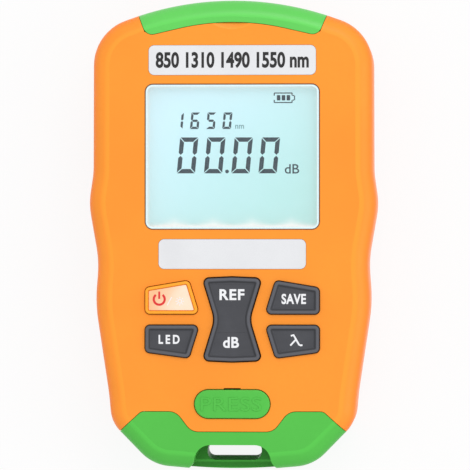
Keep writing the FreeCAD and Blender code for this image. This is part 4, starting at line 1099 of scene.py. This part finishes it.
@dataclass
class Keypad:
    """Five keys with their printed legends, and the mat and domes below them."""

    palette: Palette
    dish_depth: float = 0.55
    ink: float = 0.03
    wave_centre: Point = (17.35, -28.35)
    wave_line: float = 0.46
    wave_hook: Sequence[Point] = ((-1.5, 1.2), (-0.75, 1.4), (0.7, -1.15), (1.15, -1.38), (1.65, -1.3))
    wave_leg: Sequence[Point] = ((-0.12, 0.2), (-1.65, -1.42))
    leg_share: float = 0.8
    legends: dict[str, tuple[str, Legend]] = field(default_factory=lambda: {
        "save_legend": ("save", Legend("SAVE", (16.65, -17.2), 6.6, 2.8, weight=0.032, spacing=1.08)),
        "led_legend": ("led", Legend("LED", (-17.05, -28.15), 5.7, 2.45, weight=0.034, spacing=1.5)),
        "reference_legend": ("rocker", Legend("REF", (-0.05, -16.05), 6.75, 2.95, weight=0.03, spacing=1.12)),
        "decibel_legend": ("rocker", Legend("dB", (-0.3, -28.95), 4.3, 2.95, weight=0.028, spacing=1.06)),
    })

    def build(self) -> None:
        """Dress the keys and print them."""
        dress(self.palette.key, "save_key", "led_key", "wavelength_key", "keypad_mat")
        Rocker(self.palette).build()
        dress(self.palette.power, "power_key")
        dress(self.palette.panel, "power_key_panel")
        dress(self.palette.steel, "switch_domes")
        floor = Solid("save_key").high.z - self.dish_depth
        for name, (body, legend) in self.legends.items():
            piece(name, legend.mesh(floor, floor + self.ink), body, self.palette.ink_white)
        piece("wavelength_legend", self.wave(floor), "wavelength", self.palette.ink_white)
        PowerMark(self.palette).build()

    def wave(self, floor: float) -> Mesh:
        """Greek letter for wavelength, whose leg is printed a little lower than its hook.

        Args:
            floor: Height of the key's dish.

        Returns:
            Mesh in metres.
        """
        x, y = self.wave_centre
        strokes = []
        for run, share in ((self.wave_hook, 1.0), (self.wave_leg, self.leg_share)):
            outline = stroke([(x + a, y + b) for a, b in run], self.wave_line)
            strokes.append(slabs([outline], floor, floor + self.ink * share))
        return joined(strokes)


@dataclass
class Display:
    """Clear window, lit panel and the dark segments on it."""

    palette: Palette
    film: float = 0.05
    lean: float = math.tan(math.radians(5.5))
    large_foot: Point = (-15.2, 16.75)
    large_pitch: float = 7.37
    large_size: Point = (4.95, 9.72)
    large_line: float = 1.18
    large_number: str = "0000"
    pair_gap: float = 0.05
    small_foot: Point = (-16.0, 28.75)
    small_pitch: float = 4.38
    small_size: Point = (2.35, 4.48)
    small_line: float = 0.62
    small_number: str = "1650"
    dot: Point = (-1.55, 17.25)
    dot_radius: float = 0.5
    unit: Legend = Legend("dB", (16.05, 17.95), 3.9, 2.55, weight=0.008)
    small_unit: Legend = Legend("nm", (1.85, 29.35), 2.35, 1.05, weight=0.01)
    battery: tuple[float, float, float, float] = (11.1, 35.75, 16.2, 38.6)
    battery_line: float = 0.28
    charge_start: float = 0.85
    charge_pitch: float = 1.32
    charge_width: float = 0.96
    charge_inset: float = 0.7
    charge_corner: float = 0.12
    ring_film: float = 0.02
    gap_shadow_width: float = 0.24
    border_width: float = 0.46
    window_round: float = 2.15

    SEGMENTS: ClassVar[dict[str, str]] = {"0": "abcdef", "1": "bc", "5": "acdfg", "6": "acdefg"}

    def digit(self, figure: str, left: float, foot: float, size: Point, line: float) -> list[Outline]:
        """Seven-segment figure.

        Args:
            figure: Figure that SEGMENTS lists.
            left: Left side at the foot,.
            foot: Lower side.
            size: Width and height.
            line: Width of a segment.

        Returns:
            Outline of each lit segment, leaning to the right.
        """
        width, height = size
        half, tip, gap = height / 2, line / 2, line * 0.11
        near, far = line + gap, width - line - gap
        shapes = {
            "a": [(gap, height), (near, height - line), (far, height - line), (width - gap, height)],
            "g": [(tip + gap, half), (near, half - tip), (far, half - tip), (width - tip - gap, half),
                  (far, half + tip), (near, half + tip)],
            "f": [(0, height - gap * 1.5), (0, half + tip + gap), (tip, half + gap), (line, half + tip + gap),
                  (line, height - line - gap * 1.5)],
        }
        for lower, upper in (("d", "a"), ("e", "f")):
            shapes[lower] = [(x, height - y) for x, y in reversed(shapes[upper])]
        for right, other in (("b", "f"), ("c", "e")):
            shapes[right] = [(width - x, y) for x, y in reversed(shapes[other])]
        lit = [shapes[letter] for letter in self.SEGMENTS[figure]]
        return [[(left + x + y * self.lean, foot + y) for x, y in outline] for outline in lit]

    def battery_mark(self) -> list[Outline]:
        """Battery sign: an open case with a nub, drawn in mirrored pairs of strokes, and three bars of charge.

        Returns:
            Outline of each stroke and bar.
        """
        left, low, right, high = self.battery
        line = self.battery_line
        halves = [(left + 0.15, right - 0.1, 0.0, line), (left, left + line, 0.12, 0.85),
                  (right - line, right, 0.1, 0.8), (right, right + 0.45, 0.95 - line, 0.95)]
        strokes = []
        for start, stop, near, far in halves:
            strokes += [panel(start, high - far, stop, high - near), panel(start, low + near, stop, low + far)]
        strokes.append(panel(right + 0.4, low + 0.85, right + 0.4 + line, high - 0.85))
        for number in range(3):
            start = left + self.charge_start + number * self.charge_pitch
            strokes.append(panel(start, low + self.charge_inset, start + self.charge_width,
                                 high - self.charge_inset, self.charge_corner))
        return strokes

    def build(self) -> None:
        """Dress the display stack and set its figures."""
        dress(self.palette.pane, "display_window")
        dress(self.palette.lcd, "lcd_panel")
        dress(self.palette.black, "lcd_frame", "lcd_gasket", "connector_strip")
        dress(self.palette.guide, "backlight_guide")
        dress(self.palette.lamp, "backlight_lamps")
        outlines: list[Outline] = []
        for number, figure in enumerate(self.large_number):
            left = self.large_foot[0] + number * self.large_pitch + self.pair_gap * (number // 2)
            outlines += self.digit(figure, left, self.large_foot[1], self.large_size, self.large_line)
        for number, figure in enumerate(self.small_number):
            left = self.small_foot[0] + number * self.small_pitch
            outlines += self.digit(figure, left, self.small_foot[1], self.small_size, self.small_line)
        outlines += self.battery_mark()
        outlines.append(arc(self.dot, self.dot_radius, 0, 360, 24)[:-1])
        base = Solid("lcd_panel").high.z
        top = base + self.film
        figures = joined([slabs(outlines, base, top), self.unit.mesh(base, top)])
        piece("display_figures", figures, "case", self.palette.segment)
        piece("display_unit", self.small_unit.mesh(base, top), "case", self.palette.faint)
        self.border()

    def border(self) -> None:
        """Pale ring round the window, over the pane's seat, with a faint painted glow for the display's lit
        edge, and a dark ring outside it painted as the shadow in the gap between pane and case.
        """
        window = Solid("display_window")
        top = window.high.z
        loops = []
        inset = self.ring_film
        for step in (0.0, self.gap_shadow_width, self.border_width):
            inset += step
            half = (window.half.x - inset, window.half.y - inset)
            loop = rounded(window.centre, half, self.window_round - inset)
            loops.append(loop + loop[:1])
        # The outer ring is painted shadow for the gap round the pane, the inner one a painted glow for the
        # display's lit edge.
        for name, ink, outer, inner in (("window_seam", self.palette.seam, loops[0], loops[1]),
                                        ("window_border", self.palette.border, loops[1], loops[2])):
            mesh = slabs(ribbon(outer, inner), top, top + self.ring_film)
            piece(name, mesh, "case", ink)


@dataclass
class ReleaseButton:
    """Green button with its raised word."""

    palette: Palette
    word: Legend = Legend("PRESS", (-0.3, -45.6), 16.4, 3.7, weight=-0.012, spacing=1.05)
    raise_height: float = 0.16
    edge: float = 0.05

    def build(self) -> None:
        """Dress the button and raise the word on it."""
        dress(self.palette.trim, "release_button")
        top = Solid("release_button").high.z
        mesh = self.word.mesh(top - self.edge, top + self.raise_height, self.edge)
        piece("button_word", mesh, "button", self.palette.trim)


@dataclass
class PortEnd:
    """Hinged cover, bulkhead, optical adapter and torch."""

    palette: Palette
    rib_count: int = 36
    rib_size: Triple = (0.34, 1.15, 0.30)
    rib_clear: float = 0.1
    thread_turns: int = 6
    thread_ends: Point = (1.8, 0.5)
    barrel_radius: float = 3.98
    ridge_radius: float = 0.16

    def build(self) -> None:
        """Dress the port end and give the adapter its grip and thread."""
        dress(self.palette.cover, "port_cover")
        dress(self.palette.steel, "cover_hinge_pin")
        dress(self.palette.black, "port_bulkhead")
        dress(self.palette.nickel, "optical_adapter", "adapter_nut", "photodiode", "torch_bezel")
        dress(self.palette.sleeve, "alignment_sleeve")
        dress(self.palette.lamp, "torch_lamp")
        adapter = Solid("optical_adapter")
        wall = Solid("port_bulkhead").high.y
        start, end = self.thread_ends
        self.laid("adapter_grip", self.grip(adapter.half.x), 90, wall + self.rib_size[1] / 2 + self.rib_clear)
        self.laid("adapter_thread", self.thread(adapter.high.y - end - wall - start), -90, wall + start)

    def laid(self, name: str, mesh: Mesh, turn: float, along: float) -> None:
        """Lay a piece that stands on Z down on the adapter's axis.

        Args:
            name: Name of the piece.
            mesh: Mesh round Z, in metres.
            turn: Angle about X in degrees.
            along: Place of its origin along Y.
        """
        axis = Solid("optical_adapter").centre
        place = Matrix.Translation(Vector((axis.x, along, axis.z)) * MM)
        mesh.transform(place @ Matrix.Rotation(math.radians(turn), 4, "X"))
        piece(name, mesh, "case", self.palette.nickel)

    def grip(self, radius: float) -> Mesh:
        """Ribs round the adapter's flange.

        Args:
            radius: Radius of the flange.

        Returns:
            Mesh round Z, in metres.
        """
        width, length, height = self.rib_size
        tree = GeometryTree("grip_ribs", {"Rib Count": self.rib_count, "Ring Radius": radius,
                                          "Rib Width": width, "Rib Length": length, "Rib Height": height})
        size = tree.node("ShaderNodeCombineXYZ", {"X": "Rib Height", "Y": "Rib Width", "Z": "Rib Length"})
        rib = tree.node("GeometryNodeMeshCube", {"Size": size})
        hoop = tree.node("GeometryNodeMeshCircle", {"Vertices": "Rib Count", "Radius": "Ring Radius"})
        spot = tree.node("GeometryNodeInputPosition")
        turn = tree.node("FunctionNodeAlignRotationToVector", {"Vector": spot}, {"axis": "X"})
        ribs = tree.node("GeometryNodeInstanceOnPoints", {"Points": hoop, "Instance": rib, "Rotation": turn})
        return tree.finish(ribs, self.palette.nickel)

    def thread(self, length: float) -> Mesh:
        """Coarse thread on the adapter's barrel.

        Args:
            length: Length of the thread.

        Returns:
            Mesh round Z, in metres.
        """
        tree = GeometryTree("barrel_thread", {"Turns": self.thread_turns, "Barrel Radius": self.barrel_radius,
                                              "Thread Length": length, "Ridge Radius": self.ridge_radius})
        spiral = tree.node("GeometryNodeCurveSpiral", {
            "Resolution": 40, "Rotations": "Turns", "Start Radius": "Barrel Radius",
            "End Radius": "Barrel Radius", "Height": "Thread Length"})
        ridge = tree.node("GeometryNodeCurvePrimitiveCircle", {"Resolution": 6, "Radius": "Ridge Radius"},
                          {"mode": "RADIUS"})
        inputs = {"Curve": spiral, "Profile Curve": ridge, "Fill Caps": True}
        return tree.finish(tree.node("GeometryNodeCurveToMesh", inputs), self.palette.nickel)


class GeometryTree(Graph):
    """Geometry Nodes tree with named inputs, turned into a plain mesh when it is finished."""

    def __init__(self, name: str, inputs: dict[str, float | int]) -> None:
        """Make the tree and its inputs.

        Args:
            name: Name of the tree.
            inputs: Value of each input by its name: a whole number is a count, and any other is.
        """
        super().__init__(bpy.data.node_groups.new(name, "GeometryNodeTree"))
        self.values = {}
        for way in ("INPUT", "OUTPUT"):
            self.tree.interface.new_socket("Geometry", in_out=way, socket_type="NodeSocketGeometry")
        for label, value in inputs.items():
            whole = isinstance(value, int)
            self.values[label] = value if whole else value * MM
            kind = "NodeSocketInt" if whole else "NodeSocketFloat"
            self.tree.interface.new_socket(label, in_out="INPUT", socket_type=kind)
        self.entry = self.tree.nodes.new("NodeGroupInput")

    def length(self, label: str) -> Signal:
        """Signal of a named input."""
        return Signal(self, self.entry.outputs[label])

    def feed(self, socket: NodeSocket, value: object) -> None:
        """Link or set one input, where a string is the name of one of the tree's own inputs."""
        super().feed(socket, self.entry.outputs[value] if isinstance(value, str) else value)

    def finish(self, geometry: Node, material: Material,
               points: Sequence[Vector] = ()) -> Mesh:
        """Close the tree, run it and return the result.

        Args:
            geometry: Node with the geometry.
            material: Finish for every face.
            points: Points that the tree starts from.

        Returns:
            Plain mesh in metres.
        """
        real = self.node("GeometryNodeRealizeInstances", {0: geometry})
        dressed = self.node("GeometryNodeSetMaterial", {"Geometry": real, "Material": material})
        self.node("NodeGroupOutput", {0: dressed})
        seed = bpy.data.meshes.new("seed")
        seed.from_pydata([tuple(point * MM) for point in points], [], [])
        carrier = placed("carrier", seed)
        modifier = carrier.modifiers.new("nodes", "NODES")
        modifier.node_group = self.tree
        for item in self.tree.interface.items_tree:
            if item.name in self.values:
                modifier[item.identifier] = self.values[item.name]
        carrier.update_tag()
        bpy.context.view_layer.update()
        return evaluated(carrier)


@dataclass
class Fasteners:
    """Screws of the case and of the inner parts."""

    palette: Palette
    head_radius: float = 2.2
    crown: float = 0.7
    recess_width: float = 0.62
    recess_length: float = 2.5
    recess_height: float = 1.3
    recess_drop: float = -0.8

    def build(self) -> None:
        """Dress the screws and give the case screws crowned heads with a cross recess."""
        dress(self.palette.steel, "case_screws", "board_screws", "latch_screw")
        tree = GeometryTree("cross_heads", {"Head Radius": self.head_radius, "Crown": self.crown,
                                            "Recess Width": self.recess_width,
                                            "Recess Length": self.recess_length})
        crown = tree.length("Crown")
        dome = tree.node("GeometryNodeMeshUVSphere", {"Segments": 40, "Rings": 20, "Radius": "Head Radius"})
        flat = tree.node("ShaderNodeCombineXYZ", {"X": 1.0, "Y": 1.0, "Z": crown / tree.length("Head Radius")})
        head = tree.node("GeometryNodeTransform", {"Geometry": dome, "Scale": flat})
        drop = tree.node("ShaderNodeCombineXYZ", {"Z": crown * self.recess_drop})
        settings = {"operation": "DIFFERENCE", "solver": "EXACT"}
        crossed = tree.node("GeometryNodeMeshBoolean", {0: head}, settings)
        for across, along in (("Recess Width", "Recess Length"), ("Recess Length", "Recess Width")):
            size = tree.node("ShaderNodeCombineXYZ", {"X": across, "Y": along, "Z": crown * self.recess_height})
            arm = tree.node("GeometryNodeMeshCube", {"Size": size})
            sunk = tree.node("GeometryNodeTransform", {"Geometry": arm, "Translation": drop})
            tree.feed(crossed.inputs[1], sunk)
        heads = tree.node("GeometryNodeInstanceOnPoints", {"Points": "Geometry", "Instance": crossed})
        mesh = tree.finish(heads, self.palette.steel, Solid("case_screws").quadrants())
        piece("case_screw_crowns", mesh, "case", self.palette.steel)


@dataclass
class BatteryEnd:
    """End cap, latch, sleeve, cells and their contacts."""

    palette: Palette

    def build(self) -> None:
        """Dress the battery end."""
        dress(self.palette.cap, "end_cap")
        dress(self.palette.steel, "cap_contact_plate", "latch_spring", "battery_contacts")
        dress(self.palette.black, "battery_sleeve")
        dress(self.palette.cell, "battery_cell_left", "battery_cell_middle", "battery_cell_right")


@dataclass
class Electronics:
    """Boards and the two large chips."""

    palette: Palette

    def build(self) -> None:
        """Dress the boards."""
        dress(self.palette.board, "main_board", "detector_board")
        dress(self.palette.black, "controller_chip", "amplifier_chip")


# ---- studio
@dataclass
class Studio:
    """Floor, lamps and camera."""

    image_width: float = 126.9
    face_height: float = 30.0
    distance: float = 1100.0
    lean_right: float = 3.0
    aim: Point = (0.76, 0.05)
    world_level: float = 0.85
    floor_level: float = -0.00002
    floor_half: float = 6.0
    paper: Colour = (0.86, 0.86, 0.87)
    paper_glow: float = 0.88
    white: Colour = (1.0, 1.0, 1.0)

    @staticmethod
    def seen_rays(graph: Graph) -> Signal:
        """Mask of the rays from the camera, and of those it sends on by a mirror or through glass.

        Args:
            graph: Tree that the nodes are added to.

        Returns:
            1 for those rays and 0 for the others.
        """
        path = graph.node("ShaderNodeLightPath")
        names = ("Is Camera Ray", "Is Glossy Ray", "Is Transmission Ray")
        straight, mirrored, passed = (Signal(graph, path.outputs[name]) for name in names)
        return (straight + mirrored + passed).smaller(1.0)

    def floor(self) -> None:
        """Pale floor that stays near white to the camera, keeps the shadow and is clear from below."""
        half = self.floor_half
        mesh = bpy.data.meshes.new("floor")
        corners = [(x, y, self.floor_level) for x, y in panel(-half, -half, half, half)]
        mesh.from_pydata(corners, [], [(0, 1, 2, 3)])
        made = placed("floor", mesh)
        shader = Shader("floor_paper")
        matt = shader.node("ShaderNodeBsdfDiffuse", {"Color": self.paper})
        bright = shader.node("ShaderNodeEmission", {"Color": self.white, "Strength": 1.0})
        seen = self.seen_rays(shader) * self.paper_glow
        blend = shader.node("ShaderNodeMixShader", {0: seen, 1: matt, 2: bright})
        under = shader.node("ShaderNodeNewGeometry").outputs["Backfacing"]
        clear = shader.node("ShaderNodeBsdfTransparent")
        sheet = shader.node("ShaderNodeMixShader", {0: under, 1: blend, 2: clear})
        shader.node("ShaderNodeOutputMaterial", {"Surface": sheet})
        mesh.materials.append(shader.material)

    def world(self) -> None:
        """Even pale surroundings, white to the camera."""
        world = bpy.data.worlds.new("studio")
        bpy.context.scene.world = world
        world.use_nodes = True
        graph = Graph(world.node_tree)
        level = self.world_level + self.seen_rays(graph) * (1 - self.world_level)
        back = graph.node("ShaderNodeBackground", {"Color": self.white, "Strength": level})
        graph.node("ShaderNodeOutputWorld", {"Surface": back})

    @staticmethod
    def lamp(name: str, place: Triple, size: Point, power: float) -> None:
        """Soft rectangular lamp aimed at the meter.

        Args:
            name: Name of the lamp.
            place: Position in metres.
            size: Width and height in metres.
            power: Power in watts.
        """
        data = bpy.data.lights.new(name, "AREA")
        data.shape = "RECTANGLE"
        data.size, data.size_y = size
        data.energy = power
        made = placed(name, data)
        made.location = place
        made.rotation_euler = Vector(place).to_track_quat("Z", "Y").to_euler()

    def camera(self) -> None:
        """Long lens straight above the face, a touch to its right."""
        lean = math.radians(self.lean_right)
        data = bpy.data.cameras.new("camera")
        data.lens = data.sensor_width * self.distance / self.image_width
        data.clip_end = 50.0
        made = placed("camera", data)
        away = Vector((math.sin(lean), 0.0, math.cos(lean)))
        made.location = (Vector((*self.aim, self.face_height)) + away * self.distance) * MM
        made.rotation_euler = (0.0, lean, 0.0)
        bpy.context.scene.camera = made

    def build(self) -> None:
        """Set the stage."""
        self.floor()
        self.world()
        self.lamp("key_lamp", (0.35, 0.9, 1.2), (1.0, 0.6), 5.5)
        self.lamp("side_lamp", (1.2, -0.1, 0.7), (0.5, 1.0), 2.5)
        self.camera()
        bpy.context.scene.view_settings.view_transform = "Standard"


def main() -> None:
    """Build every sub-assembly, then the stage."""
    logging.basicConfig(level=logging.INFO, format="%(name)s: %(message)s")
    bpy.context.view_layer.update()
    palette = Palette()
    for kind in (CaseShells, Display, Keypad, ReleaseButton, PortEnd, BatteryEnd, Electronics, Fasteners):
        kind(palette).build()
        LOG.info("%s built", kind.__name__)
    Studio().build()


if __name__ == "__main__":
    main()
